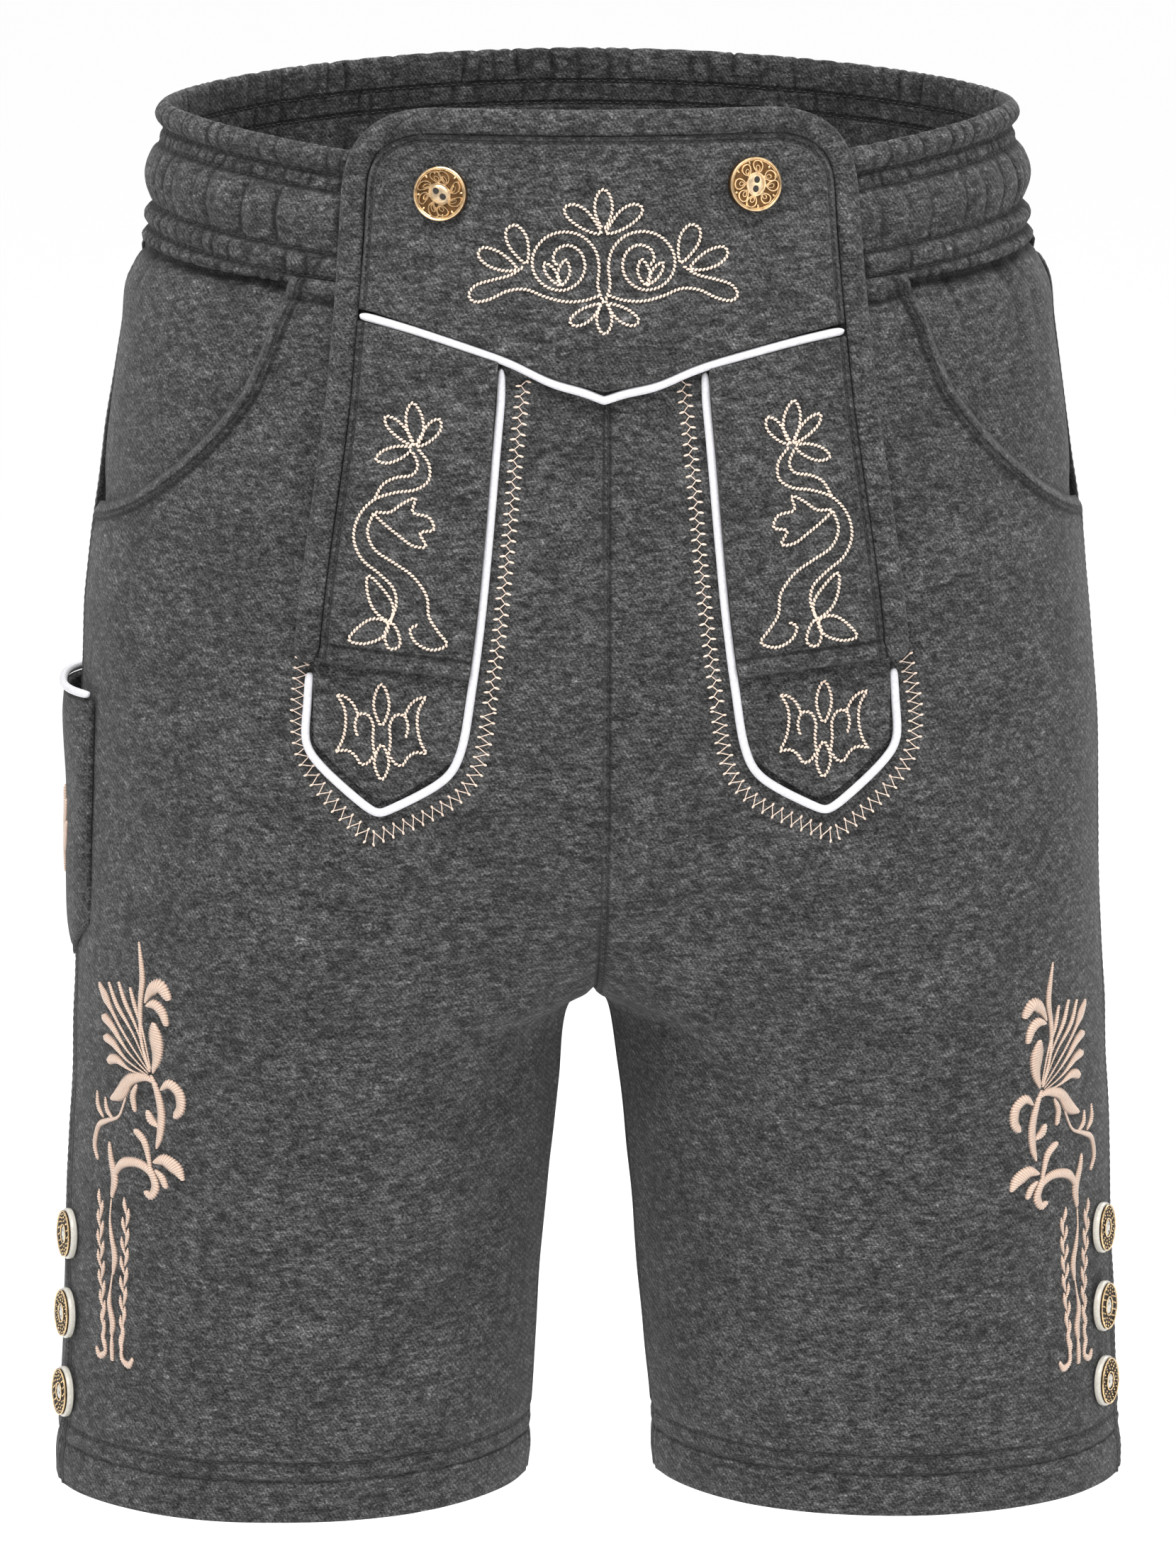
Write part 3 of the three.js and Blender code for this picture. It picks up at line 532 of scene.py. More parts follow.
def cloth_met(tree, origin, aim, reach):
    """Where a ray meets cloth, or else the cloth nearest to the ray's point at reach: the point, and the
    normal that faces the ray."""
    spot, up, _, _ = tree.ray_cast(origin, aim)
    if spot is None:
        spot, up, _, _ = tree.find_nearest(origin + reach * aim)
    return np.array(spot), np.array(up if up.dot(aim) < 0 else -up)


def fold_relief(points, line, width, depth):
    """A soft trough (negative depth) or ridge along a line, fading at its ends, with soft shoulders."""
    line = even_line(line, 3 * MM)
    relief = np.zeros(len(points))
    low, high = line.min(0) - 3 * width, line.max(0) + 3 * width
    near = np.flatnonzero(np.all((points > low) & (points < high), axis=1))
    if len(near) == 0:
        return relief
    apart = np.linalg.norm(points[near, None, :] - line[None, :, :], axis=2)
    nearest = apart.argmin(axis=1)
    across = apart[np.arange(len(near)), nearest] / width
    along = nearest / max(1, len(line) - 1)
    fade = np.sin(np.pi * np.clip(along, 0, 1)) ** 0.7
    relief[near] = depth * fade * (1 - 0.55 * across ** 2) * np.exp(-across ** 2)
    return relief


def slow_wave(points, size, seed, height):
    """Gentle unevenness of the cloth, of about the given size."""
    shift = Vector((seed * 3.1, seed * 1.7, seed * 2.3))
    return height * np.array([noise.noise(Vector(p) / size + shift) for p in points])


def gather_places(start, end, low, high, dice):
    """Uneven places of gathers between two ends, with spacings from low to high."""
    places = [start]
    while places[-1] < end:
        places.append(places[-1] + dice.uniform(low, high) * dice.choice((0.7, 1, 1, 1.3)))
    return np.array(places)


def pillows(across, places, depths, sharpness=0.5):
    """Rounded pillows between creases: 0 on a pillow's crown, down to a crease's own depth.
    Also gives how near each point is to a crease, weighted by the crease's depth."""
    right = np.clip(np.searchsorted(places, across), 1, len(places) - 1)
    left = right - 1
    t = np.clip((across - places[left]) / (places[right] - places[left]), 0, 1)
    depth = depths[left] * (1 - t) + depths[right] * t
    apart = np.minimum(across - places[left], places[right] - across)
    nearness = np.exp(-(apart / (1.05 * MM)) ** 2) * (depth / max(depths)) ** 0.8
    return depth * ((4 * t * (1 - t)) ** sharpness - 1), nearness


# ---------------------------------------------------------------- body panels
# Soft folds: the stops as (x, z) in millimetres, width, and depth (minus is a trough).
FRONT_FOLDS = {
    "left": [
        ([(6, -281), (24, -268), (46, -261), (68, -272)], 8, -1.9),
        ([(10, -296), (24, -287), (44, -282)], 11, 1.5),
        ([(12, -306), (34, -322), (58, -348)], 9, -1.3),
        ([(30, -352), (52, -382), (60, -420), (52, -455)], 12, -1.2),
        ([(182, -236), (150, -252), (118, -250)], 10, -1.1),
        ([(96, -296), (130, -312), (166, -306)], 13, -0.9),
        ([(150, -498), (146, -460), (132, -418)], 13, -1.3),
        ([(78, -498), (84, -468), (98, -436)], 11, -1.1),
        ([(112, -196), (134, -186), (160, -190)], 10, -0.9),
    ],
    "right": [
        ([(-4, -250), (-36, -256), (-70, -260), (-98, -254)], 8, -1.7),
        ([(-8, -208), (-30, -228), (-56, -238)], 7, -1.0),
        ([(-6, -196), (-28, -212), (-50, -221)], 8, 1.2),
        ([(-8, -288), (-26, -277), (-54, -276)], 10, 1.3),
        ([(-14, -308), (-30, -330), (-62, -350)], 9, -1.2),
        ([(-28, -366), (-46, -398), (-48, -440)], 11, -1.3),
        ([(-184, -226), (-158, -238), (-124, -232)], 9, -1.2),
        ([(-176, -330), (-140, -338), (-104, -326)], 13, -0.9),
        ([(-134, -498), (-128, -462), (-112, -430)], 12, -1.2),
        ([(-60, -498), (-66, -474), (-78, -452)], 10, -1.0),
        ([(-170, -172), (-146, -182), (-118, -176)], 9, -0.8),
    ],
}
BACK_FOLDS = {
    "left": [
        ([(8, -258), (40, -286), (88, -298), (136, -288)], 10, -2.6),
        ([(16, -300), (52, -318), (104, -322), (150, -306)], 12, 1.5),
        ([(14, -312), (44, -338), (96, -346)], 9, -1.7),
        ([(6, -196), (34, -222), (76, -236)], 10, -1.2),
        ([(188, -262), (158, -282), (120, -284)], 10, -1.5),
        ([(60, -498), (66, -452), (84, -402)], 13, -1.5),
        ([(140, -498), (134, -448), (120, -410)], 14, -1.4),
        ([(40, -86), (64, -118), (70, -152)], 15, -1.0),
        ([(150, -60), (138, -104), (144, -150)], 14, -1.1),
    ],
    "right": [
        ([(-8, -250), (-46, -282), (-92, -290), (-142, -276)], 10, -2.4),
        ([(-14, -298), (-60, -314), (-112, -312)], 12, 1.4),
        ([(-16, -318), (-50, -344), (-108, -340)], 9, -1.6),
        ([(-5, -176), (-36, -206), (-80, -216)], 11, -1.1),
        ([(-186, -276), (-150, -298), (-108, -300)], 10, -1.4),
        ([(-52, -498), (-62, -456), (-76, -424)], 12, -1.5),
        ([(-124, -498), (-120, -460), (-108, -412)], 13, -1.3),
        ([(-48, -78), (-66, -104), (-74, -148)], 14, -1.1),
        ([(-146, -70), (-134, -112), (-142, -160)], 15, -1.0),
    ],
}
EXTRA_ROWS = (-40, -58, -72, -160, -175, -235, -403, -467, -482)   # heights in millimetres
SEAM_CLOSE = 0.55 * MM        # each panel's share of closing the seams
PANEL_EASE = 0.6 * MM         # makes up what smoothing takes off the panel's curve
# The wearer's right leg hangs a little closer on its outer side.
RIGHT_LEG_SLACK, SLACK_FROM, SLACK_OVER = 1.1 * MM, -190 * MM, 80 * MM
WAIST_TUCK = 2.4 * MM         # how far a panel reaches up behind the waistband's edge
POCKET_TUCK = 6.5 * MM        # the same for the piece in the pocket mouth, which lies deeper
WAIST_PUFF, PUFF_AT = 1.9 * MM, 17 * MM       # the cloth swells below the waistband
WAIST_CREASE = 6 * MM         # the crease under the waistband
FLAP_REST = 0.35              # folds are held flatter where the flap lies on them
FLAP_HALF_WIDTH, FLAP_FOOT = 116 * MM, -228 * MM
MOUTH_FOOT, MOUTH_OVER = -135 * MM, 12 * MM   # the pocket mouth's rolled edge ends here
PANEL_TURN_RADIUS = 0.15      # about the panels' distance from the garment's middle
SHEETS = {}                   # outer side of each cloth piece: its surface and its borders


def keep_sheet(node, piece):
    """Keeps the outer side of a cloth piece, for what is sewn on it later."""
    SHEETS[node] = {"tree": surface_of(piece), "borders": name_borders(piece)}


def name_borders(piece):
    """The sheet's borders by name: top, hem, centre (nearest the middle) and side."""
    points = points_of(piece)
    chains = border_chains(piece)
    chains.sort(key=lambda chain: points[chain][:, 2].mean())
    hem, top = chains[0], chains[-1]
    centre, side = sorted(chains[1:-1], key=lambda chain: abs(points[chain][:, 0]).mean())
    return {"top": points[top], "hem": points[hem], "centre": points[centre], "side": points[side]}


def cut_rows(piece, heights):
    """Adds level rows to a sheet of quads."""
    for height in heights:
        with edit_mode(piece):
            bpy.ops.mesh.bisect(plane_co=(0, 0, height * MM), plane_no=(0, 0, 1))


def mark_sewn(piece, side, hem, third):
    """Stores how far each point is from the side, the hem and a third edge: centre seam, rim or top."""
    attribute = piece.data.attributes.new("sewn", "FLOAT_VECTOR", "POINT")
    attribute.data.foreach_set("vector", np.stack([side, hem, third], axis=1).astype(np.float32).ravel())


def mark_crease_shade(piece, values):
    """Stores how deep in a sharp crease each point lies, from 0 to 1, for the painted shade that darkens
    the colour there.
    """
    attribute = piece.data.attributes.new("crease", "FLOAT", "POINT")
    attribute.data.foreach_set("value", np.clip(values, 0, 1).astype(np.float32))


def inward_ways(tree, line):
    """At each point of a sheet's border, the way along the cloth into the sheet."""
    middle = len(line) // 2
    ways, turn = [], 0
    for i in [middle] + list(range(len(line))):
        ahead = Vector(line[min(i + 2, len(line) - 1)] - line[max(i - 2, 0)])
        way = tree.find_nearest(Vector(line[i]))[1].cross(ahead).normalized()
        if turn == 0:
            gaps = [tree.find_nearest(Vector(line[i]) + k * 8 * MM * way)[3] for k in (1, -1)]
            turn = 1 if gaps[0] < gaps[1] else -1
            continue
        ways.append(turn * np.array(way))
    return np.array(ways)


def widen(points, tree, line, distance, falloff=2.5 * MM):
    """Draws a sheet's border out by a little, so that it meets its neighbour."""
    nearest, apart = nearest_stops(points, line)
    out = -inward_ways(tree, line)[nearest]
    return points + distance * np.exp(-(apart / falloff) ** 2)[:, None] * out


def ridge(distance, centre, width):
    return np.exp(-((distance - centre) / width) ** 2)


def waist_relief(points, from_top, seed):
    """The loose roll, crease and soft gathers under the waistband, as relief and as depth in a crease for
    the painted crease shade.
    """
    dice = random.Random(seed)
    around = np.arctan2(points[:, 1], points[:, 0]) * PANEL_TURN_RADIUS
    wander = slow_wave(points, 22 * MM, seed, 1.0)
    crease = WAIST_CREASE + 1.6 * MM * wander
    roll = 1.3 * MM * ridge(from_top, 2.6 * MM, 2.4 * MM)
    dip = -1.7 * MM * ridge(from_top, crease, 1.5 * MM)
    puff = WAIST_PUFF * ridge(from_top, PUFF_AT, 10 * MM)
    places = gather_places(-0.5, 0.5, 9 * MM, 24 * MM, dice)
    depths = np.array([dice.uniform(0.5, 2.0) for _ in places]) * MM
    reach = np.array([dice.uniform(10, 40) for _ in places]) * MM
    bent = around + 3 * MM * slow_wave(points, 30 * MM, seed + 5, 1.0)
    length = np.interp(bent, places, reach)
    fade = np.exp(-(np.maximum(0, from_top - 5 * MM) / length) ** 1.5)
    fade *= 0.35 + 0.65 * np.clip(from_top / (5 * MM), 0, 1)
    gathers, nearness = pillows(bent, places, depths, 0.6)
    # How deep in the waist crease and in a gather's crease each point lies: the mask of the painted crease
    # shade.
    crease = 0.95 * ridge(from_top, crease, 1.5 * MM) + 0.75 * fade * nearness
    return roll + dip + puff + fade * gathers, crease


def border_lines(piece):
    return {name: even_line(line, 1 * MM) for name, line in name_borders(piece).items()}


def make_panel(half, side, sign, folds):
    node = f"{half}_panel_{side}"
    forward = Vector((0, -1 if half == "front" else 1, 0))
    piece = outer_sheet(node, f"{node}_cloth", CLOTH, forward)
    cut_rows(piece, EXTRA_ROWS)
    subdivide_smoothly(piece)
    points, normals = points_of(piece), normals_of(piece)
    base = surface_of(piece)
    lines = border_lines(piece)
    from_top, from_hem, from_centre, from_side = (
        distances_to(points, lines[name]) for name in ("top", "hem", "centre", "side"))
    relief, crease = waist_relief(points, from_top, 7 * len(node) + sign)
    relief += PANEL_EASE
    if side == "right":
        outer = np.clip(-normals[:, 0], 0, 1) ** 2
        relief -= RIGHT_LEG_SLACK * outer * np.clip((SLACK_FROM - points[:, 2]) / SLACK_OVER, 0, 1)
    flat = np.ones(len(points))
    if half == "front":
        flat[(abs(points[:, 0]) < FLAP_HALF_WIDTH) & (points[:, 2] > FLAP_FOOT)] = FLAP_REST
    for stops, width, depth in folds[side]:
        line = [cloth_met(base, Vector((x * MM, 0, z * MM)) + forward, -forward, 0.3)[0] for x, z in stops]
        relief += flat * fold_relief(points, line_through(line), width * MM, depth * MM)
    relief += flat * slow_wave(points, 62 * MM, 3 + sign, 1.5 * MM)
    relief += flat * slow_wave(points, 24 * MM, 9 + sign, 0.45 * MM)
    for distance in (from_centre, from_side):
        seam = -0.75 * MM * ridge(distance, 0, 1.7 * MM)
        relief += seam + 0.3 * MM * ridge(distance, 4.5 * MM, 2.6 * MM)
    pucker = 1 + 1.1 * slow_wave(points * (1, 1, 0.3), 7 * MM, 21 + sign, 1.0)
    relief += 0.5 * MM * ridge(from_hem, 8 * MM, 5 * MM)
    for row in HEM_ROWS:
        relief -= 0.75 * MM * pucker * ridge(from_hem, row, 1.6 * MM)
    if half == "front":
        mouth = np.clip((points[:, 2] - MOUTH_FOOT) / MOUTH_OVER, 0, 1)
        roll = ridge(from_side, 3.6 * MM, 2.4 * MM) - 0.6 * ridge(from_side, 8 * MM, 2.2 * MM)
        relief += mouth * 1.3 * MM * roll
    points = points + normals * relief[:, None]
    for name in ("centre", "side"):
        points = widen(points, base, lines[name], SEAM_CLOSE)
    points = widen(points, base, lines["top"], WAIST_TUCK, 3.5 * MM)
    move_points(piece, points)
    keep_sheet(node, piece)
    if side == "right":       # the centre row is sewn on the left side only
        from_centre = np.where(from_centre < 1.5 * MM, from_centre, 1.0)
    mark_sewn(piece, from_side, from_hem, from_centre)
    # painted shade in the creases under the waistband
    mark_crease_shade(piece, crease)
    apply_modifier(piece, "SOLIDIFY", thickness=CLOTH, offset=-1)
    finish_piece(piece, PANEL_CLOTH, [node])


for half, folds in (("front", FRONT_FOLDS), ("back", BACK_FOLDS)):
    for side, sign in SIDES:
        make_panel(half, side, sign, folds)


# ---------------------------------------------------------------- pocket sides
def make_pocket_side(side, sign):
    node = f"pocket_side_{side}"
    piece = outer_sheet(node, f"{node}_cloth", POCKET_CLOTH_THICK, (sign, 0, 0))
    subdivide_smoothly(piece)
    points, normals = points_of(piece), normals_of(piece)
    base = surface_of(piece)
    lines = border_lines(piece)
    from_top = distances_to(points, lines["top"])
    from_side = distances_to(points, lines["side"])
    relief, crease = waist_relief(points, from_top, 31 + sign)
    relief = 0.8 * relief + 0.5 * PANEL_EASE
    relief += slow_wave(points, 45 * MM, 6 + sign, 0.8 * MM)
    relief -= 0.6 * MM * ridge(from_side, 0, 1.8 * MM)
    points = points + normals * relief[:, None]
    move_points(piece, widen(points, base, lines["top"], POCKET_TUCK, 9 * MM))
    # painted shade in the creases under the waistband
    mark_crease_shade(piece, crease)
    apply_modifier(piece, "SOLIDIFY", thickness=POCKET_CLOTH_THICK, offset=-1)
    finish_piece(piece, PLAIN_CLOTH, [node])


for side, sign in SIDES:
    make_pocket_side(side, sign)


# ---------------------------------------------------------------- waistband
# Bands between the stitched rows, in millimetres: from which drop below the rim to which, the closest and
# the widest spacing of the gathers, and their depth.
OUTER_BANDS = [(0, 10, 5, 9, 2.0), (10, 15.5, 4, 8, 1.5), (15.5, 38, 7, 17, 3.1), (38, 47, 6, 12, 2.2),
               (47, 54, 5, 10, 1.8)]
INNER_BANDS = [(0, 13, 4, 12, 2.4), (13, 21.5, 4, 10, 2.0), (21.5, 56, 8, 20, 2.2)]
BAND_BULGES = ((5, 3.5), (27, 8), (42.5, 3), (50.5, 2.6))     # drop and width, in millimetres
INSIDE_CREASE_SHADE = 0.7           # the painted crease shade is fainter on the inner face
WAIST_WIDE, WAIST_DEEP, WAIST_RADIUS = 0.158, 0.118, 0.14     # the waist's oval: half axes and mean radius
RIM_PLACES = 176              # numbered places round the rim


def rim_place(turn):
    return np.round((turn + math.pi) / (2 * math.pi) * RIM_PLACES).astype(int) % RIM_PLACES


def rim_heights(points):
    """Each point's turn round the waist's oval, and the rim's height at every numbered place."""
    turn = np.arctan2(points[:, 1] / WAIST_DEEP, points[:, 0] / WAIST_WIDE)
    rim = np.full(RIM_PLACES, -1.0)
    np.maximum.at(rim, rim_place(turn), points[:, 2])
    return turn, rim


def gathered_band(points, drop, around, bands, seed):
    """The elastic's gathers between the sewn rows, as relief and as depth in a crease for the painted
    crease shade.
    """
    relief, crease = np.zeros(len(points)), np.zeros(len(points))
    wander = slow_wave(points, 14 * MM, seed, 1.0)
    strength = 0.62 + 0.38 * abs(np.sin(around / WAIST_RADIUS))
    strength += 0.25 * slow_wave(points, 60 * MM, seed + 2, 1.0)
    for k, (high, low, closest, widest, depth) in enumerate(bands):
        dice = random.Random(seed + k)
        inside = (drop >= high * MM) & (drop < low * MM)
        share = (drop[inside] / MM - high) / (low - high)
        places = gather_places(-0.46, 0.46, closest * MM, widest * MM, dice)
        depths = np.array([dice.choice((0.35, 0.7, 1.0, 1.25)) * dice.uniform(0.6, 1) for _ in places])
        depths = depths * depth * MM
        leans = np.array([dice.uniform(-2.2, 2.2) for _ in places]) * MM
        where = around[inside]
        bent = where + np.interp(where, places, leans) * (share - 0.5) + 0.8 * MM * wander[inside]
        arch = np.sin(np.pi * np.clip(share, 0, 1)) ** 0.6
        if k == 0:
            arch = np.maximum(arch, 0.8 * (share < 0.5))
        gathers, nearness = pillows(bent, places, depths, 0.42)
        relief[inside] = strength[inside] * (0.22 + 0.78 * arch) * gathers
        # the mask of the painted shade in the gathers' creases
        crease[inside] = strength[inside] * (0.75 + 1.0 * arch) * nearness
    return relief, crease


def make_waistband():
    piece = copy_node("waistband", "waistband_cloth")
    to_quads(piece)
    apply_modifier(piece, "SUBSURF", levels=2, render_levels=2)
    with edit_mode(piece, None):
        bpy.ops.mesh.select_mode(type="EDGE")
        bpy.ops.mesh.select_all(action="DESELECT")
    corners = piece.data.vertices
    for edge in piece.data.edges:         # those that run round the waist
        a, b = (corners[v].co for v in edge.vertices)
        turn = abs(math.remainder(math.atan2(a.y, a.x) - math.atan2(b.y, b.x), 2 * math.pi))
        edge.select = turn > math.radians(1)
    with edit_mode(piece, None):
        bpy.ops.mesh.subdivide(number_cuts=4)
    points, normals = points_of(piece), normals_of(piece)
    turn, rim = rim_heights(points)
    around = turn * WAIST_RADIUS
    drop = rim[rim_place(turn)] - points[:, 2]
    radial = points[:, :2] / np.linalg.norm(points[:, :2], axis=1)[:, None]
    outward = (normals[:, :2] * radial).sum(axis=1) > 0
    outer, outer_crease_shade = gathered_band(points, drop, around, OUTER_BANDS, 11)
    inner, inner_crease_shade = gathered_band(points, drop, around, INNER_BANDS, 41)
    relief = np.where(outward, outer, inner)
    # painted shade in the creases, fainter on the inner face
    crease = np.where(outward, outer_crease_shade, INSIDE_CREASE_SHADE * inner_crease_shade)
    for row in BAND_ROWS:
        relief -= outward * 1.2 * MM * ridge(drop, row, 1.5 * MM)
    for row in BAND_INSIDE_ROWS:
        relief -= ~outward * 0.9 * MM * ridge(drop, row, 1.4 * MM)
    for bulge, width in BAND_BULGES:
        relief += outward * 1.7 * MM * ridge(drop, bulge * MM, width * MM)
    far = np.full(len(points), 1.0)
    mark_sewn(piece, far, far, np.where(outward, drop, -drop))
    mark_crease_shade(piece, crease)
    move_points(piece, points + normals * relief[:, None])
    finish_piece(piece, BAND_CLOTH, ["waistband"])


make_waistband()


# ---------------------------------------------------------------- flap and tongues
CORD_TOPS = {"piping_left": 14.6 * MM, "piping_right": 18.6 * MM}     # drawn up to the V seam
CORD_FROM, CORD_OVER = -70 * MM, 10 * MM
V_TIP, V_RISE = -68 * MM, 0.29
V_TILT, V_TILT_REACH = -0.037, 24 * MM        # the flap hangs a little higher on the wearer's right
V_SAG, V_SAG_AT, V_SAG_WIDTH = 1.9 * MM, 19 * MM, 11 * MM
V_POINT, V_POINT_WIDTH = 1.7 * MM, 6 * MM
V_END_LONGER, V_END_FROM, V_END_OVER = 1.6 * MM, 84 * MM, 5 * MM      # the V's ends go under the binding
# The knife pocket lies closer to the leg below.
POCKET_DRAWN, POCKET_FROM, POCKET_OVER = 2.8 * MM, -245 * MM, 50 * MM


def tilt_v(points):
    """Lowers the V seam on one side and raises it on the other, fading away above and below it."""
    seam = V_TIP + V_RISE * abs(points[:, 0])
    fade = np.exp(-((points[:, 2] - seam) / V_TILT_REACH) ** 2)
    sag = V_SAG * np.exp(-((abs(points[:, 0]) - V_SAG_AT) / V_SAG_WIDTH) ** 2)
    sag += V_POINT * np.exp(-abs(points[:, 0]) / V_POINT_WIDTH)
    points[:, 2] += (V_TILT * points[:, 0] - sag) * fade
    return points


def draw_in(points):
    """Draws the pocket towards the leg, most at its foot."""
    points[:, 0] += POCKET_DRAWN * (0.3 + 0.7 * np.clip((POCKET_FROM - points[:, 2]) / POCKET_OVER, 0, 1))
    return points


def reach_out(points, borders, distance):
    """Widens a sheet evenly, most at its borders, so that its edge reaches the cord beside it."""
    line = np.concatenate([even_line(border, 0.5 * MM) for border in borders])
    nearest, apart = nearest_stops(points, line)
    out = line[nearest] - points.mean(axis=0)
    out[:, 1] = 0
    out /= np.linalg.norm(out, axis=1)[:, None]
    return points + distance * np.exp(-(apart / (5 * MM)) ** 2)[:, None] * out


def puffed_sheet(node, thickness, sewn, puff, wave, material, towards=(0, -1, 0), hemmed=False,
                 reach=0.0, reach_sides=("centre",)):
    """A cloth piece puffed between its edges. sewn names the borders with a sewn row beside them."""
    piece = outer_sheet(node, f"{node}_cloth", thickness, towards)
    subdivide_smoothly(piece)
    if node.startswith("flap"):
        move_points(piece, tilt_v(points_of(piece)))
    if node == "knife_pocket":
        move_points(piece, draw_in(points_of(piece)))
    if reach:
        borders = name_borders(piece)
        move_points(piece, reach_out(points_of(piece), [borders[side] for side in reach_sides], reach))
    points, normals = points_of(piece), normals_of(piece)
    away = {name: distances_to(points, line) for name, line in border_lines(piece).items()}
    nearest = np.minimum.reduce(list(away.values()))
    relief = 0.3 * MM + puff * (1 - np.exp(-(nearest / (7 * MM)) ** 2))
    relief += slow_wave(points, 40 * MM, len(node), wave) * np.clip(nearest / (10 * MM), 0, 1)
    sides = np.minimum.reduce([away[name] for name in sewn])
    hem = away["hem"] if hemmed else np.full(len(points), 1.0)
    relief -= 0.7 * MM * ridge(sides, FLAP_ROW, 1.2 * MM)
    relief -= 0.9 * MM * ridge(hem, FLAP_HEM_ROW, 1.5 * MM)
    relief += 0.9 * MM * ridge(hem, 2.4 * MM, 2.6 * MM)
    move_points(piece, points + normals * relief[:, None])
    keep_sheet(node, piece)
    mark_sewn(piece, sides, hem, away["top"])
    apply_modifier(piece, "SOLIDIFY", thickness=thickness, offset=-1)
    finish_piece(piece, material, [node])


def smooth_copy(node, name, fatten, material, slot):
    """A smoothed copy of a roll or cord, slightly filled out."""
    piece = copy_node(node, name)
    to_quads(piece)
    apply_modifier(piece, "SUBSURF", levels=2, render_levels=2)
    points = points_of(piece) + fatten * normals_of(piece)
    if node == "piping_v":
        points = tilt_v(points)
        ends = np.clip((np.abs(points[:, 0]) - V_END_FROM) / V_END_OVER, 0, 1)
        points[:, 0] += np.sign(points[:, 0]) * V_END_LONGER * ends
        points[:, 2] += 0.25 * V_END_LONGER * ends
    if node in CORD_TOPS:
        points[:, 2] += CORD_TOPS[node] * np.clip((points[:, 2] - CORD_FROM) / CORD_OVER, 0, 1)
    move_points(piece, points)
    finish_piece(piece, material, [node], slot)


puffed_sheet("flap_yoke", 2.6 * MM, ("side", "centre", "top"), 0.7 * MM, 0.7 * MM, FLAP_CLOTH)
for side, _ in SIDES:
    puffed_sheet(f"flap_strip_{side}", 2.4 * MM, ("side",), 0.5 * MM, 0.8 * MM, FLAP_CLOTH,
                 hemmed=True, reach=0.5 * MM)
    puffed_sheet(f"tongue_{side}", 1.5 * MM, ("top",), 0.5 * MM, 0.5 * MM, PLAIN_CLOTH,
                 reach=2.0 * MM, reach_sides=("centre", "side", "hem"))
    smooth_copy(f"piping_{side}", f"piping_{side}_cord", 0.25 * MM, WHITE_SATIN, "white_piping")
smooth_copy("flap_binding", "flap_binding_roll", 0.5 * MM, PLAIN_CLOTH, "sweat_cloth")
smooth_copy("piping_v", "piping_v_cord", 0.3 * MM, WHITE_SATIN, "white_piping")
puffed_sheet("knife_pocket", 1.8 * MM, ("side", "centre", "hem"), 0.6 * MM, 0.7 * MM, POCKET_CLOTH,
             towards=(-1, 0, 0))
smooth_copy("knife_pocket_piping", "knife_pocket_cord", 0.2 * MM, WHITE_SATIN, "white_piping")


# ---------------------------------------------------------------- thread
DARK_THREAD = satin_material("dark_thread", (0.020, 0.020, 0.022), 0.6, 0.1)
# The colour given for the gaps is painted shade between the satin threads.
PEACH_THREAD = satin_material("peach_thread", (0.93, 0.73, 0.60), 0.45, 0.3, gap_shade=(0.30, 0.16, 0.095))


def bead_shape(segments, rings):
    """A small rounded bead, one unit across, as (points, faces)."""
    bpy.ops.object.select_all(action="DESELECT")
    bpy.ops.mesh.primitive_uv_sphere_add(segments=segments, ring_count=rings, radius=0.5,
                                         rotation=(0, math.pi / 2, 0))
    bead = bpy.context.object
    bpy.ops.object.transform_apply(location=False, rotation=True, scale=False)
    shape = points_of(bead), sorted(list(face.vertices) for face in bead.data.polygons)
    bpy.data.objects.remove(bead, do_unlink=True)
    return shape


def unit(way):
    return way / np.linalg.norm(way)


def joined(parts):
    """Several forms, each as (points, faces), made one."""
    points, faces, start = [], [], 0
    for some, more in parts:
        points.append(np.asarray(some, float))
        faces += [[start + v for v in face] for face in more]
        start += len(some)
    return np.concatenate(points), faces


STITCH = bead_shape(5, 4)


def mesh_piece(name, points, faces, material, slot, replaces=()):
    mesh = bpy.data.meshes.new(name)
    mesh.from_pydata([tuple(p) for p in points], [], faces)
    piece = bpy.data.objects.new(name, mesh)
    bpy.context.scene.collection.objects.link(piece)
    finish_piece(piece, material, replaces, slot)
    return piece


def lay_copies(name, shape, places, material, slot):
    """Joins copies of one small shape. A place is (centre, along, up, length, width, height)."""
    base, faces = shape
    copies = []
    for centre, along, up, length, width, height in places:
        across = unit(np.cross(up, along))
        along = unit(along)
        up = np.cross(along, across)
        copies.append((centre + base[:, :1] * length * along + base[:, 1:2] * width * across
                       + base[:, 2:] * height * up, faces))
    mesh_piece(name, *joined(copies), material, slot)


def along_row(row, pitch, length, width, height, lean=0.0, sink=0.15, dice=None):
    """Stitches at an even pitch along a row of (point, normal), as places for lay_copies."""
    spots = np.array([spot for spot, _ in row], float)
    ups = np.array([up for _, up in row], float)
    lengths = lengths_along(spots)

    def at(where, values):
        return np.stack([np.interp(where, lengths, column) for column in values.T], axis=1)

    places = np.arange(pitch / 2, lengths[-1], pitch)
    if dice:
        places = places + np.array([dice.uniform(-0.06, 0.06) for _ in places]) * pitch
    ahead = at(places + pitch / 2, spots) - at(places - pitch / 2, spots)
    laid = []
    for centre, up, way in zip(at(places, spots), at(places, ups), ahead):
        if np.linalg.norm(way) < pitch / 4:
            continue
        up, way = unit(up), unit(way)
        way = way * math.cos(lean) + np.cross(up, way) * math.sin(lean)
        laid.append((centre + up * height * (0.5 - sink), way, up, length, width, height))
    return laid


def row_beside(node, border, distance):
    """A row at a distance inside a border of a cloth piece, as (point, normal)."""
    sheet = SHEETS[node]
    line = even_line(sheet["borders"][border], 2 * MM)
    tree = sheet["tree"]
    row = []
    for place, way in zip(line, inward_ways(tree, line)):
        spot, up, _, _ = tree.find_nearest(Vector(place + distance * way))
        row.append((np.array(spot), np.array(up)))
    return row


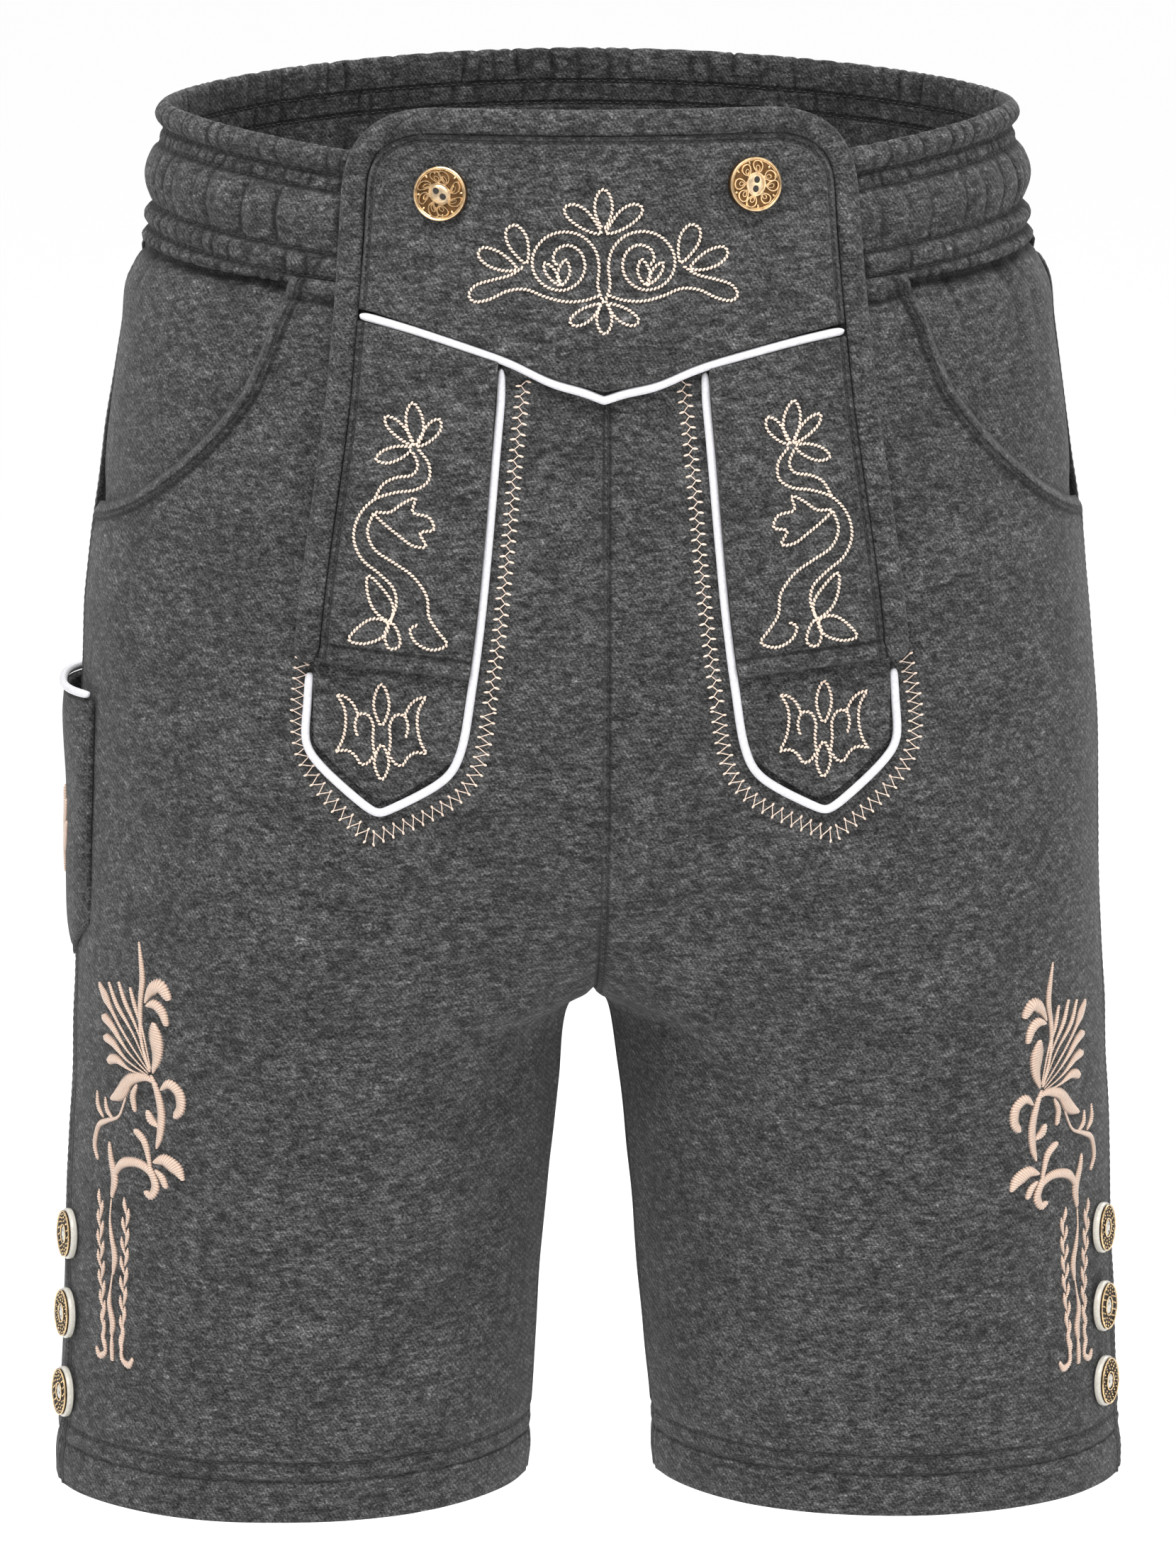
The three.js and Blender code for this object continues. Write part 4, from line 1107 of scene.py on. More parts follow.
def topstitching():
    dice = random.Random(5)
    rows = []
    for side, _ in SIDES:
        for half in ("front", "back"):
            node = f"{half}_panel_{side}"
            rows += [row_beside(node, "side", row) for row in SEAM_ROWS[1:]]
            rows += [row_beside(node, "hem", row) for row in HEM_ROWS]
            if side == "left":
                rows.append(row_beside(node, "centre", CENTRE_ROW))
        rows.append(row_beside(f"flap_strip_{side}", "side", FLAP_ROW))
        rows.append(row_beside(f"flap_strip_{side}", "hem", FLAP_HEM_ROW))
    rows += [row_beside("flap_yoke", border, FLAP_ROW) for border in ("side", "centre", "top")]
    rows += [row_beside("knife_pocket", border, KNIFE_POCKET_ROW) for border in ("side", "centre", "hem")]
    places = []
    for row in rows:
        places += along_row(row, 3.1 * MM, 2.3 * MM, 0.66 * MM, 0.5 * MM, sink=0.66, dice=dice)
    lay_copies("topstitching", STITCH, places, DARK_THREAD, "sweat_cloth")


topstitching()


# ---------------------------------------------------------------- embroidery
def smooth_path(stops, step, closed=False):
    """A smooth path through given stops (millimetres in, metres out), any number of columns."""
    stops = np.array(stops, float) * MM
    if closed:
        padded = np.concatenate([stops[-1:], stops, stops[:2]])
    else:
        padded = np.concatenate([2 * stops[:1] - stops[1:2], stops, 2 * stops[-1:] - stops[-2:-1]])
    path = curve_through(padded, 16)
    path.append(path[0] if closed else stops[-1])
    return even_line(path, step, fewest=3, measured=2)


def front_mapper(node, centre, mirror=1):
    """Puts a motif drawn about a centre (x, z) on front-facing cloth."""
    tree = SHEETS[node]["tree"]

    def put(u, v):
        origin = Vector((mirror * (centre[0] + u), -1, centre[1] + v))
        return cloth_met(tree, origin, Vector((0, 1, 0)), 0.86)
    return put


def rope_outlines(curves, put, both_sides=False):
    """Outlines in rope stitch: curves are (closed, stops)."""
    places = []
    for closed, stops in curves:
        for flip in ((1, -1) if both_sides else (1,)):
            row = [put(u, v) for u, v in smooth_path([(flip * u, v) for u, v in stops], 0.6 * MM, closed)]
            places += along_row(row, 1.45 * MM, 1.7 * MM, 0.98 * MM, 0.95 * MM,
                                lean=math.radians(38), sink=0.1)
    return places


def even_leaf(half):
    """A closed leaf whose left side mirrors the right one."""
    return True, half + [(-u, v) for u, v in half[-2:0:-1]]


# Outlines: (closed, stops in millimetres about the motif's centre).
YOKE_CENTRE = (0, -19 * MM)
YOKE_MIDDLE_LEAVES = [
    even_leaf([(0, 12), (2.4, 15.6), (3.2, 19.8), (2.2, 24), (0, 26)]),
    even_leaf([(0, -13.8), (2, -17), (2.7, -21), (1.5, -24.4), (0, -25.4)]),
]
YOKE_SIDE_CURVES = [
    (True, [(1, 10.4), (4.8, 10.8), (9.6, 13.2), (13.4, 16.6), (13.8, 19.6), (10.4, 20.6), (6.2, 18.4),
            (3, 14.4)]),
    (True, [(1.6, -15), (5.4, -15.6), (9.6, -17.6), (12.4, -20.6), (10.6, -22.6), (6.6, -21.6),
            (3.2, -18.6)]),
    (False, [(0.6, -13.6), (2.2, -8.4), (1.7, -1.6), (3.2, 4.6), (8, 9.4), (14.6, 10.8), (21, 8.6),
             (25.2, 3), (25.2, -3.6), (21, -8.6), (14.6, -10), (9.2, -7.2), (6.8, -2), (8.2, 3.4),
             (12.4, 6), (16.8, 4.6), (18.2, 1), (16.6, -1.4)]),
    (True, [(15.4, -8.2), (13, -5.8), (12.2, -2.6), (13.6, 0.8), (15.8, -1.6), (16.8, -5)]),
    (True, [(15.6, -8.2), (18.6, -6.6), (21, -3.6), (21.4, -0.4), (18.8, -1.6), (16.8, -4.4)]),
    (False, [(1.4, -11.8), (7, -13.6), (14, -14), (21, -12.4), (28, -9.8), (34.6, -10.4), (41, -13.4),
             (46.4, -14.4), (48.5, -12), (46, -8.6), (40, -6.6), (33.6, -4.8), (28.6, -1.6)]),
    (True, [(31.4, -2.6), (36.2, -3.2), (41.8, -1.4), (45, 2), (43.4, 4.8), (38.4, 3.8), (34, 0.8)]),
    (True, [(27.8, -0.4), (31.4, 2.2), (34.6, 6.8), (34.8, 11.4), (31.4, 13), (28, 9.6), (27, 4.4)]),
]
STRIP_CENTRE = (74.7 * MM, -115 * MM)
STRIP_CURVES = [
    (True, [(-6.6, 29.6), (-9.4, 34.2), (-9, 40.4), (-5.8, 45), (-3.4, 40.8), (-4, 34.4)]),
    (True, [(-5.8, 29.8), (-1.2, 31.8), (3.4, 36), (4, 39.8), (0, 38.6), (-3.8, 34.6)]),
    (True, [(-7.2, 29.4), (-11.6, 31), (-15.6, 35.2), (-15.4, 39.2), (-12, 38), (-9, 33.8)]),
    (True, [(-5.2, 28.6), (-0.4, 29.2), (5, 27.4), (7.6, 24.2), (3.4, 23), (-2, 25.2)]),
    (False, [(-7.6, 28.4), (-11.4, 23), (-11.2, 17), (-6.4, 13.6), (1, 12.4), (8.4, 9.6), (13.8, 3.6),
             (15.8, -4.4), (13, -12), (6.6, -17.4), (1.6, -22.6), (0.6, -28.6), (2.8, -34.6)]),
    (False, [(-5.6, 27.4), (-7.4, 22.6), (-5.4, 19), (0.6, 17.8), (5.2, 15.2), (8.2, 10)]),
    (False, [(8.6, 4.8), (10.8, -2), (8.2, -8.6), (1.4, -13.2), (-5.4, -18), (-10.4, -25.2),
             (-11.2, -32.6), (-14.4, -38), (-17.6, -42.8), (-12, -44.8), (-6.4, -42.2), (-4.4, -37.6),
             (-7.4, -35.6)]),
    (True, [(8.2, 4.8), (2.8, 5.2), (-1.8, 8.4), (-6.4, 10.4), (-5.6, 5.4), (-11.4, 3.6), (-13, -0.8),
            (-8.2, -2.2), (-10.2, -7), (-5.4, -6.8), (-0.4, -3.2), (4.6, 0.8)]),
    (True, [(2.6, -34.2), (1.8, -28.6), (5.8, -22.4), (10.6, -18.2), (11, -24), (9, -30), (5.4, -33.6)]),
    (True, [(4, -35), (8.8, -33.8), (13.6, -36.4), (17.8, -41.6), (12.8, -43), (7.4, -41.6), (4, -38.6)]),
    (True, [(2.2, -35.2), (0, -38.6), (-0.6, -43.4), (3.2, -44.6), (4.8, -40.2), (3.8, -36.6)]),
]
TONGUE_CENTRE = (80.7 * MM, -191.3 * MM)
TONGUE_MIDDLE_LEAVES = [
    even_leaf([(0, 2.6), (2, 6.2), (2.8, 10.8), (1.7, 15.6), (0, 17.8)]),
    even_leaf([(0, -4.6), (2, -8), (2.6, -12), (1.4, -16), (0, -17.6)]),
]
TONGUE_SIDE_CURVES = [
    (False, [(2.6, -8.4), (3.2, -3), (3, 2.6), (5, 6.4), (8.4, 6.2), (9.6, 2), (8.6, -2.2)]),
    (False, [(8.4, 6.4), (10.4, 10.4), (13.2, 12.8), (16, 13.4)]),
    (False, [(16, 13.4), (13.4, 8.4), (13, 2.4), (14.2, -3.4), (16.4, -7.6)]),
    (False, [(16.4, -7.6), (12.4, -7.2), (9.6, -9), (7.6, -12), (5, -11.6), (2.8, -8.6)]),
]


def flap_embroidery():
    yoke = front_mapper("flap_yoke", YOKE_CENTRE)
    places = rope_outlines(YOKE_MIDDLE_LEAVES, yoke) + rope_outlines(YOKE_SIDE_CURVES, yoke, True)
    for side, sign in SIDES:
        places += rope_outlines(STRIP_CURVES, front_mapper(f"flap_strip_{side}", STRIP_CENTRE, sign))
        tongue = front_mapper(f"tongue_{side}", TONGUE_CENTRE, sign)
        places += rope_outlines(TONGUE_MIDDLE_LEAVES, tongue)
        places += rope_outlines(TONGUE_SIDE_CURVES, tongue, True)
    lay_copies("outline_embroidery", STITCH, places, PEACH_THREAD, "peach_thread")


flap_embroidery()

LEG_MOTIF_HEIGHT = {"left": (-368 * MM, 0.965), "right": (-360.3 * MM, 1.0)}    # centre height, stretch
# The motif goes round a leg's upright axis at this x, this far from it, about this turn from the side.
LEG_AXIS, LEG_ARC, LEG_MIDDLE = 106.7 * MM, 97 * MM, math.radians(47.5)
# Satin strokes: (u, v, width) in millimetres about the motif's centre; u grows towards the front.
LEG_STROKES = [
    [(2, 82, 0.9), (3.8, 69, 2.7), (2.4, 57, 2.1), (3.4, 45, 1.6), (8.6, 33.5, 1.1)],
    [(5.4, 59.5, 0.9), (10, 65, 4.2), (16, 66.4, 5.4), (21.6, 62, 3.6)],
    [(6, 58.4, 0.9), (11.6, 59.6, 3.6), (16.6, 57, 4.2), (19.6, 52, 2.6)],
    [(8, 33.6, 0.6), (-3, 43, 0.9), (-14, 53, 1.8), (-19.4, 57.4, 4.6), (-24.4, 62, 1)],
    [(8.6, 34, 0.6), (-1, 46.6, 0.9), (-10.4, 55.6, 2.1), (-16.4, 63.6, 1.3)],
    [(9, 34.4, 0.6), (1.6, 47.6, 0.9), (-5.4, 57.4, 2.1), (-9.6, 65, 1.4)],
    [(9.4, 34.8, 0.6), (4.6, 47.6, 0.9), (0, 56.6, 2), (-2.8, 64, 1.4)],
    [(7.4, 32.8, 0.6), (-4, 39.6, 0.9), (-13, 46.8, 3), (-20.6, 50, 3.8)],
    [(7, 32, 0.6), (-4.4, 36, 0.9), (-12.4, 40.8, 3.1), (-19, 42.4, 3.7)],
    [(6.4, 31.2, 0.6), (-3.4, 32.8, 1), (-10.4, 35.2, 3.3), (-16.4, 34, 3.7)],
    [(10.6, 33.4, 0.9), (13.6, 40, 4.4), (13, 47, 6.6), (11.4, 52.6, 2.4)],
    [(13, 29, 1.1), (5.4, 31, 2.8), (-2.6, 29, 4.4), (-7.8, 23.6, 5.8), (-14.6, 19.4, 1.5)],
    [(0.4, 27.6, 1.2), (-1.8, 22.6, 3), (-0.8, 17, 2)],
    [(9.4, 32.4, 1.3), (13, 26, 3), (15.4, 18, 3.6), (14.4, 10, 3), (12, 4.6, 1)],
    [(15.2, 27.4, 1), (20.6, 30.2, 3.4), (26.4, 27, 4.2), (27, 21.4, 3.8), (23.4, 17.8, 2.6)],
    [(6.4, 18.6, 3), (8.6, 15.2, 3.8), (13.6, 13, 1.1)],
    [(-5.6, 21.4, 0.9), (-10, 13.6, 1.1), (-17.6, 10.4, 1.8), (-24.4, 7, 2.4), (-27, -0.6, 2.4),
     (-24.2, -6, 1.5)],
    [(-26, 20, 0.9), (-25, 14.4, 2.3), (-20.8, 10.8, 1.1)],
    [(-19.2, 19, 0.9), (-17.8, 14.4, 2.2), (-13.8, 11.6, 1)],
    [(-1, 10.2, 2.8), (3.6, 6.4, 3.2), (6.6, 0.6, 2.2), (8.2, -4.8, 1.4)],
    [(9.8, -0.8, 1.1), (16.6, 0.8, 4.2), (23.6, -1.8, 5.4), (28.2, -6, 1.5)],
    [(11, -3.6, 1), (15, -6, 3), (17.8, -10, 2.6)],
    [(-13.2, -10.6, 1.5), (-8.4, -4.4, 3.4), (-0.4, -2.4, 3.3), (7.4, -4.6, 3.5), (11, -9.8, 3.7),
     (8, -13.8, 3.1), (4, -12.6, 2.4)],
    [(-16.2, 2.4, 1.3), (-14.8, -4, 3.2), (-12.6, -10.6, 4.4), (-14, -18.4, 1.4)],
    [(-14.4, -19, 0.7), (-15.2, -27, 0.9), (-14.2, -34, 2.2), (-12.8, -41, 3.1), (-14, -48, 1.1)],
    [(-14.2, -47, 0.7), (-15.8, -54, 1), (-16.6, -60, 2.3), (-15.2, -67, 3.2), (-15.8, -72, 1.6)],
    [(-15.6, -71, 0.9), (-15.8, -76, 2), (-15.8, -82, 1.8)],
    [(-20, -74.6, 1.3), (-19.8, -79.4, 1.9), (-23.4, -81.4, 2.6), (-25.6, -78.4, 1.3)],
    [(-10.6, -74.6, 1.3), (-10.4, -80, 1.9), (-7, -82, 2.6), (-4.8, -79, 1.3)],
]
PLAIT_LEAVES = 15             # leaves in each plaited stem under the motif
PLAIT_STEMS = ((-21.4, -20.6), (-5.6, -10.4))     # where each stem starts and ends, across the motif
PLAIT_TOP, PLAIT_LENGTH = -17, 54
MOTIF_CENTRE, MOTIF_MOVED, MOTIF_WIDER, MOTIF_NARROWER = 3, 4.4, 1.12, 0.76


def plait_strokes():
    """The two stems of small slanted leaves, to the left and right in turn, beside the middle one."""
    strokes = []
    for start, end in PLAIT_STEMS:
        for k in range(PLAIT_LEAVES):
            share = k / (PLAIT_LEAVES - 1)
            u, v = start + (end - start) * share, PLAIT_TOP - PLAIT_LENGTH * share
            side = (1 if k % 2 else -1) * (0.7 + 1.1 * math.sin(math.pi * min(1, 0.12 + share)) ** 0.6)
            strokes.append([(u + side, v, 0.5), (u + 0.75 * side, v - 3, 1.9),
                            (u - 0.1 * side, v - 7.4, 0.5)])
        strokes.append([(end, -69, 0.6), (end, -73, 1.1), (end, -77, 1.2)])
    return strokes


def fitted(stops):
    """A stroke of the leg motif, drawn out towards the side seam and in towards the front."""
    stretched = []
    for u, v, width in stops:
        stretch = MOTIF_WIDER if u < MOTIF_CENTRE else MOTIF_NARROWER
        stretched.append((MOTIF_MOVED + (u - MOTIF_CENTRE) * stretch, v, width))
    return stretched


def leg_mapper(side, sign):
    """Puts a motif on the outer front of a leg."""
    tree = SHEETS[f"front_panel_{side}"]["tree"]
    height, stretch = LEG_MOTIF_HEIGHT[side]

    def put(u, v):
        angle = LEG_MIDDLE + u / LEG_ARC
        out = Vector((sign * math.cos(angle), -math.sin(angle), 0))
        origin = Vector((sign * LEG_AXIS, 0, height + stretch * v)) + 0.4 * out
        return cloth_met(tree, origin, -out, 0.3)
    return put


ACROSS = (-1.0, -0.6, 0.0, 0.6, 1.0)      # points across a stroke
THREAD_STEP = 0.48 * MM       # half a thread
THREAD_RIDGE, THREAD_GAP = (1.02, 1.0, 0.0), (0.84, 0.66, 0.62)    # shares of width and crown, and the darkness of the painted shade
CROWN = 1.25 * MM
SATIN_FULLNESS = 1.2
THREAD_SLANT = 0.35


def tube_faces(rings, count):
    """Faces of a tube of rings with count points each, closed at both ends."""
    faces = []
    for i in range(rings - 1):
        for k in range(count):
            a, b = i * count + k, i * count + (k + 1) % count
            faces.append([a, b, b + count, a + count])
    last = (rings - 1) * count
    return faces + [list(range(count))[::-1], list(range(last, last + count))]


def satin_stroke(stops, put, dice):
    """A satin-stitched leaf: crowned, round-ended, a ridge for each thread, its sides slightly uneven,
    with painted shade between threads and towards its sides.
    """
    path = smooth_path([(u, v, width * SATIN_FULLNESS) for u, v, width in stops], THREAD_STEP)
    points, faces, gaps = [], [], []
    for i, (u, v, width) in enumerate(path):
        to_end = (min(i, len(path) - 1 - i) + 0.4) * THREAD_STEP
        if to_end < width / 2:
            width = 2 * math.sqrt(max(0, (width / 2) ** 2 - (width / 2 - to_end) ** 2))
        ahead = path[min(i + 3, len(path) - 1)] - path[max(i - 3, 0)]
        length = math.hypot(ahead[0], ahead[1])
        along_u, along_v = ahead[0] / length, ahead[1] / length
        fullness, crowned, darkness = THREAD_GAP if i % 2 else THREAD_RIDGE
        half = 0.5 * width * fullness + dice.uniform(-0.05, 0.05) * MM
        slant = THREAD_SLANT * half
        crown = min(CROWN, 0.42 * width + 0.18 * MM) * crowned
        for t in ACROSS:
            spot, up = put(u - along_v * half * t + along_u * slant * t,
                           v + along_u * half * t + along_v * slant * t)
            points.append(spot + up * (crown * (1 - t * t) - 0.06 * MM * abs(t)))
            # painted shade: darker on the gap threads and towards the stroke's sides
            gaps.append(darkness + 0.45 * abs(t) ** 3)
    return points, tube_faces(len(path), len(ACROSS)), gaps


def satin_piece(name, strokes, put, sign, seed):
    dice = random.Random(seed)
    points, faces, gaps = [], [], []
    for stops in strokes:
        some, more, between = satin_stroke(stops, put, dice)
        faces += [[v + len(points) for v in (face if sign < 0 else face[::-1])] for face in more]
        points += some
        gaps += between
    # the gaps are stored as crease depth, for the painted shade between threads
    mark_crease_shade(mesh_piece(name, points, faces, PEACH_THREAD, "peach_thread"), gaps)


for side, sign in SIDES:
    strokes = [fitted(stops) for stops in LEG_STROKES + plait_strokes()]
    satin_piece(f"leg_embroidery_{side}", strokes, leg_mapper(side, sign), sign, 3)

POCKET_STROKES = [
    [(0, -17, 1.2), (0.6, -8, 2), (-0.4, 2, 1.8), (0, 12, 1)],
    [(0.4, -9, 1), (4, -6, 3.2), (8, -1, 3.4), (10.4, 4, 1.2)],
    [(-0.2, -9, 1), (-4, -6, 3.2), (-8, -1, 3.4), (-10.4, 4, 1.2)],
    [(0.2, 0, 0.9), (3.4, 3.4, 2.6), (6, 8.4, 2.6), (6.4, 12, 1)],
    [(-0.2, 0, 0.9), (-3.4, 3.4, 2.6), (-6, 8.4, 2.6), (-6.4, 12, 1)],
    [(0, 10, 1), (0.2, 13, 3), (0, 16.4, 1)],
]
POCKET_MOTIF_HEIGHT = -247 * MM


def pocket_mapper():
    tree = SHEETS["knife_pocket"]["tree"]
    low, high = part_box("knife_pocket")
    middle = (low.y + high.y) / 2 - 5 * MM

    def put(u, v):
        return cloth_met(tree, Vector((-1, middle - u, POCKET_MOTIF_HEIGHT + v)), Vector((1, 0, 0)), 0.8)
    return put


satin_piece("knife_pocket_embroidery", POCKET_STROKES, pocket_mapper(), -1, 8)


# ---------------------------------------------------------------- feather stitch round the tongues
# Stops as (x, z) in millimetres.
FEATHER_STRAIGHT = [(28.8, -62), (32, -92), (34.8, -124), (37.4, -150), (39.4, -166), (41.6, -182)]
FEATHER_ROUND = [(41.8, -183.5), (43.6, -196), (47.4, -208.4), (55.4, -217.6), (68, -224.6),
                 (84.6, -231.6)]
FEATHER_OUTER = {
    "left": [(85.6, -231), (97.4, -222), (109, -210.4), (114.6, -199), (115.4, -186), (113.4, -175),
             (111.4, -166)],
    "right": [(85.6, -231), (95.4, -222), (105, -210.4), (110, -199), (111, -186), (109.8, -171),
              (107.8, -156)],
}
FEATHER_PITCH = 3.9 * MM
# How far the zigzag swings, where its bars start and end beside it, and how far they are dragged along.
STRAIGHT_STYLE = (0.85 * MM, 0.0, 1.75 * MM, 0.35 * MM)
ROUND_STYLE = (1.9 * MM, -0.3 * MM, 0.9 * MM, 0.1 * MM)


def thread_between(a, b, up, lift, longer, width, height):
    return (a + b) / 2 + up * lift, b - a, up, longer * np.linalg.norm(b - a), width, height


def feather_places(stops, put, style):
    """A zigzag thread along a path, with a short thick bar at every turn."""
    path = smooth_path(stops, FEATHER_PITCH / 2)
    swing, bar_start, bar_end, drag = style
    corners, places = [], []
    for i, spot in enumerate(path):
        ahead = unit(path[min(i + 1, len(path) - 1)] - path[max(i - 1, 0)])
        side = np.array([-ahead[1], ahead[0]]) * (1 if i % 2 else -1)
        corners.append(put(*(spot + swing * side)))
        a, up = put(*(spot + (swing + bar_start) * side))
        b, _ = put(*(spot + (swing + bar_end) * side + drag * ahead))
        places.append(thread_between(a, b, up, 0.3 * MM, 1.3, 0.95 * MM, 0.8 * MM))
    for (a, up), (b, _) in zip(corners, corners[1:]):
        places.append(thread_between(a, b, up, 0.18 * MM, 1.25, 0.4 * MM, 0.42 * MM))
    return places


def feather_stitch():
    places = []
    for side, sign in SIDES:
        put = front_mapper(f"front_panel_{side}", (0, 0), sign)
        places += feather_places(FEATHER_STRAIGHT, put, STRAIGHT_STYLE)
        for stops in (FEATHER_ROUND, FEATHER_OUTER[side]):
            places += feather_places(stops, put, ROUND_STYLE)
    lay_copies("feather_stitch", STITCH, places, PEACH_THREAD, "peach_thread")


feather_stitch()


# ---------------------------------------------------------------- waistband stitching
def waistband_stitching():
    band = bpy.data.objects["waistband_cloth"]
    tree = surface_of(band)
    _, rim = rim_heights(points_of(band))
    dice = random.Random(12)
    turns = np.radians(np.arange(0, 361, 1.0))
    heights = rim[rim_place(turns % (2 * math.pi))]
    places = []
    for outside, drops in ((True, BAND_ROWS), (False, BAND_INSIDE_ROWS)):
        for drop in drops:
            row = []
            for turn, height in zip(turns, heights):
                way = Vector((WAIST_WIDE * math.cos(turn), WAIST_DEEP * math.sin(turn), 0)).normalized()
                middle = Vector((0, 0, height - drop))
                origin, aim = (middle + 0.4 * way, -way) if outside else (middle, way)
                spot, up, _, _ = tree.ray_cast(origin, aim)
                if spot is not None:
                    row.append((np.array(spot), np.array(up)))
            places += along_row(row, 2.9 * MM, 1.9 * MM, 0.6 * MM, 0.5 * MM, dice=dice, sink=0.3)
    lay_copies("waistband_stitching", STITCH, places, DARK_THREAD, "sweat_cloth")


waistband_stitching()


# ---------------------------------------------------------------- buttons
def metal_material(name, colour, roughness):
    material, tree, shader = new_material(name)
    place = object_place(tree)
    wear = place_node(tree, "ShaderNodeTexNoise", Vector=place, Scale=420.0, Detail=4.0).outputs[0]
    dim = tuple(c * 0.62 for c in colour)
    tree.links.new(ramp(tree, wear, [(0.35, dim), (0.62, colour)]), shader.inputs["Base Color"])
    set_finish(shader, Metallic=1.0, Roughness=roughness)
    return material


GOLD = metal_material("antique_gold", (0.85, 0.60, 0.34), 0.26)
# A paler gold for the flap buttons' heart: a painted highlight.
PALE_GOLD = metal_material("gold_with_painted_highlight", (0.96, 0.73, 0.47), 0.3)
DARK_GOLD = metal_material("gold_in_the_recesses", (0.20, 0.105, 0.043), 0.45)
SIDE_GOLD = metal_material("worn_gold", (0.85, 0.61, 0.33), 0.25)
BLACK_GOLD = metal_material("blackened_recesses", (0.030, 0.019, 0.011), 0.55)
CREAM = satin_material("cream_button", (0.64, 0.61, 0.54), 0.3, 0.0, 0.3)
# Near-black: painted shade in the buttons' thread holes.
HOLE_SHADE = satin_material("button_hole_shades", (0.02, 0.015, 0.012), 0.8)


def turned(profile, segments=48):
    """A turned form from a profile of (radius, height), closed at both ends."""
    points = []
    for radius, height in profile:
        for k in range(segments):
            turn = 2 * math.pi * k / segments
            points.append((max(radius, 0.01) * math.cos(turn), max(radius, 0.01) * math.sin(turn), height))
    return np.array(points), tube_faces(len(profile), segments)


def wire(path, radius, sides=6, closed=False):
    """A rounded wire along a path, its ends closed."""
    path = np.array(path, float)
    count = len(path)
    points = []
    for i in range(count):
        if closed:
            ahead = path[(i + 1) % count] - path[i - 1]
        else:
            ahead = path[min(i + 1, count - 1)] - path[max(i - 1, 0)]
        ahead = unit(ahead)
        across = unit(np.cross(ahead, (0, 0, 1.0)))
        up = np.cross(across, ahead)
        for k in range(sides):
            turn = 2 * math.pi * k / sides
            points.append(path[i] + radius * (math.cos(turn) * across + math.sin(turn) * up))
    faces = []
    for i in range(count if closed else count - 1):
        here, after = i * sides, (i + 1) % count * sides
        for k in range(sides):
            beside = (k + 1) % sides
            faces.append([here + k, after + k, after + beside, here + beside])
    if not closed:
        faces += [face[::-1] for face in tube_faces(count, sides)[-2:]]
    return np.array(points), faces


def oval(wide, deep, height, count):
    """Points of an oval round the button's middle."""
    return [(wide * math.cos(turn), deep * math.sin(turn), height)
            for turn in np.linspace(0, 2 * math.pi, count + 1)[:-1]]


def dome(long, wide, high, base, segments=28, rings=6):
    points, faces = turned([(math.cos(k * math.pi / 2 / rings), math.sin(k * math.pi / 2 / rings))
                            for k in range(rings)] + [(0.02, 1.0)], segments)
    return points * (long, wide, high) + (0, 0, base), faces


def turned_by(part, angle):
    points, faces = part
    c, s = math.cos(angle), math.sin(angle)
    return points @ np.array([[c, s, 0], [-s, c, 0], [0, 0, 1.0]]), faces


def petal(inner, outer, wide, skew, height, count=19):
    """A petal's outline from near the middle out to the rim and back, in the plane of the button."""
    path = []
    for t in np.linspace(0, 1, count):
        rise = math.sin(t * math.pi)
        radius = inner + (outer - inner) * rise ** 0.6
        angle = (t - 0.5) * 2 * wide * rise ** 0.35 + skew * (radius - inner) / (outer - inner)
        path.append((radius * math.cos(angle), radius * math.sin(angle), height + 0.2 * rise))
    return path


def button_frame(node):
    """Where a button sits: the middle of its back, its right, up and axis, and its thickness."""
    source = frame["nodes"][node]
    points = points_of(source)
    middle = points.mean(axis=0)
    axis = np.linalg.svd(points - middle, full_matrices=False)[2][2]
    outward = (0, -1, 0) if node.startswith("flap") else (np.sign(middle[0]), 0, 0)
    if axis.dot(outward) < 0:
        axis = -axis
    along = points @ axis
    middle = middle + axis * (along.min() - middle @ axis)
    up = unit(np.array([0, 0, 1.0]) - axis[2] * axis)
    return middle, np.cross(up, axis), up, axis, along.max() - along.min()


def set_button(name, part, place, turn, material, slot, replaces=()):
    points, faces = turned_by(part, turn)
    middle, right, up, axis, _ = place
    points = middle + points[:, :1] * MM * right + points[:, 1:2] * MM * up + points[:, 2:] * MM * axis
    only(mesh_piece(name, points, faces, material, slot, replaces))
    bpy.ops.object.shade_smooth_by_angle(angle=math.radians(40))


def button_hole_shades(height, spacing, long, wide):
    """Two long thread holes, one each side of the middle, as near-black discs: painted shade in the holes.
    """
    profile = [(1, height - 0.5), (1, height), (0.9, height + 0.02), (0.01, height + 0.02)]
    points, faces = turned(profile, 16)
    hole = points * (long, wide, 1)
    return joined([(hole + (spacing, 0, 0), faces), (hole - (spacing, 0, 0), faces)])


PETALS, PETAL_SPREAD = 8, 1.4
# Rings of wire on a button, in millimetres: radius, thickness and drop below the top.
FLAP_BUTTON_RINGS = ((9.4, 0.5, 0.75), (8.75, 0.2, 0.9))
# Rings of beads on a side button: radius, number and size.
SIDE_BUTTON_BEADS = ((7.55, 19, 0.42), (6.2, 15, 0.46), (4.85, 11, 0.4))


def bead_out(bead, radius, turn):
    """A bead set out from the button's middle, at a turn."""
    return turned_by((bead[0] + (radius, 0, 0), bead[1]), turn)


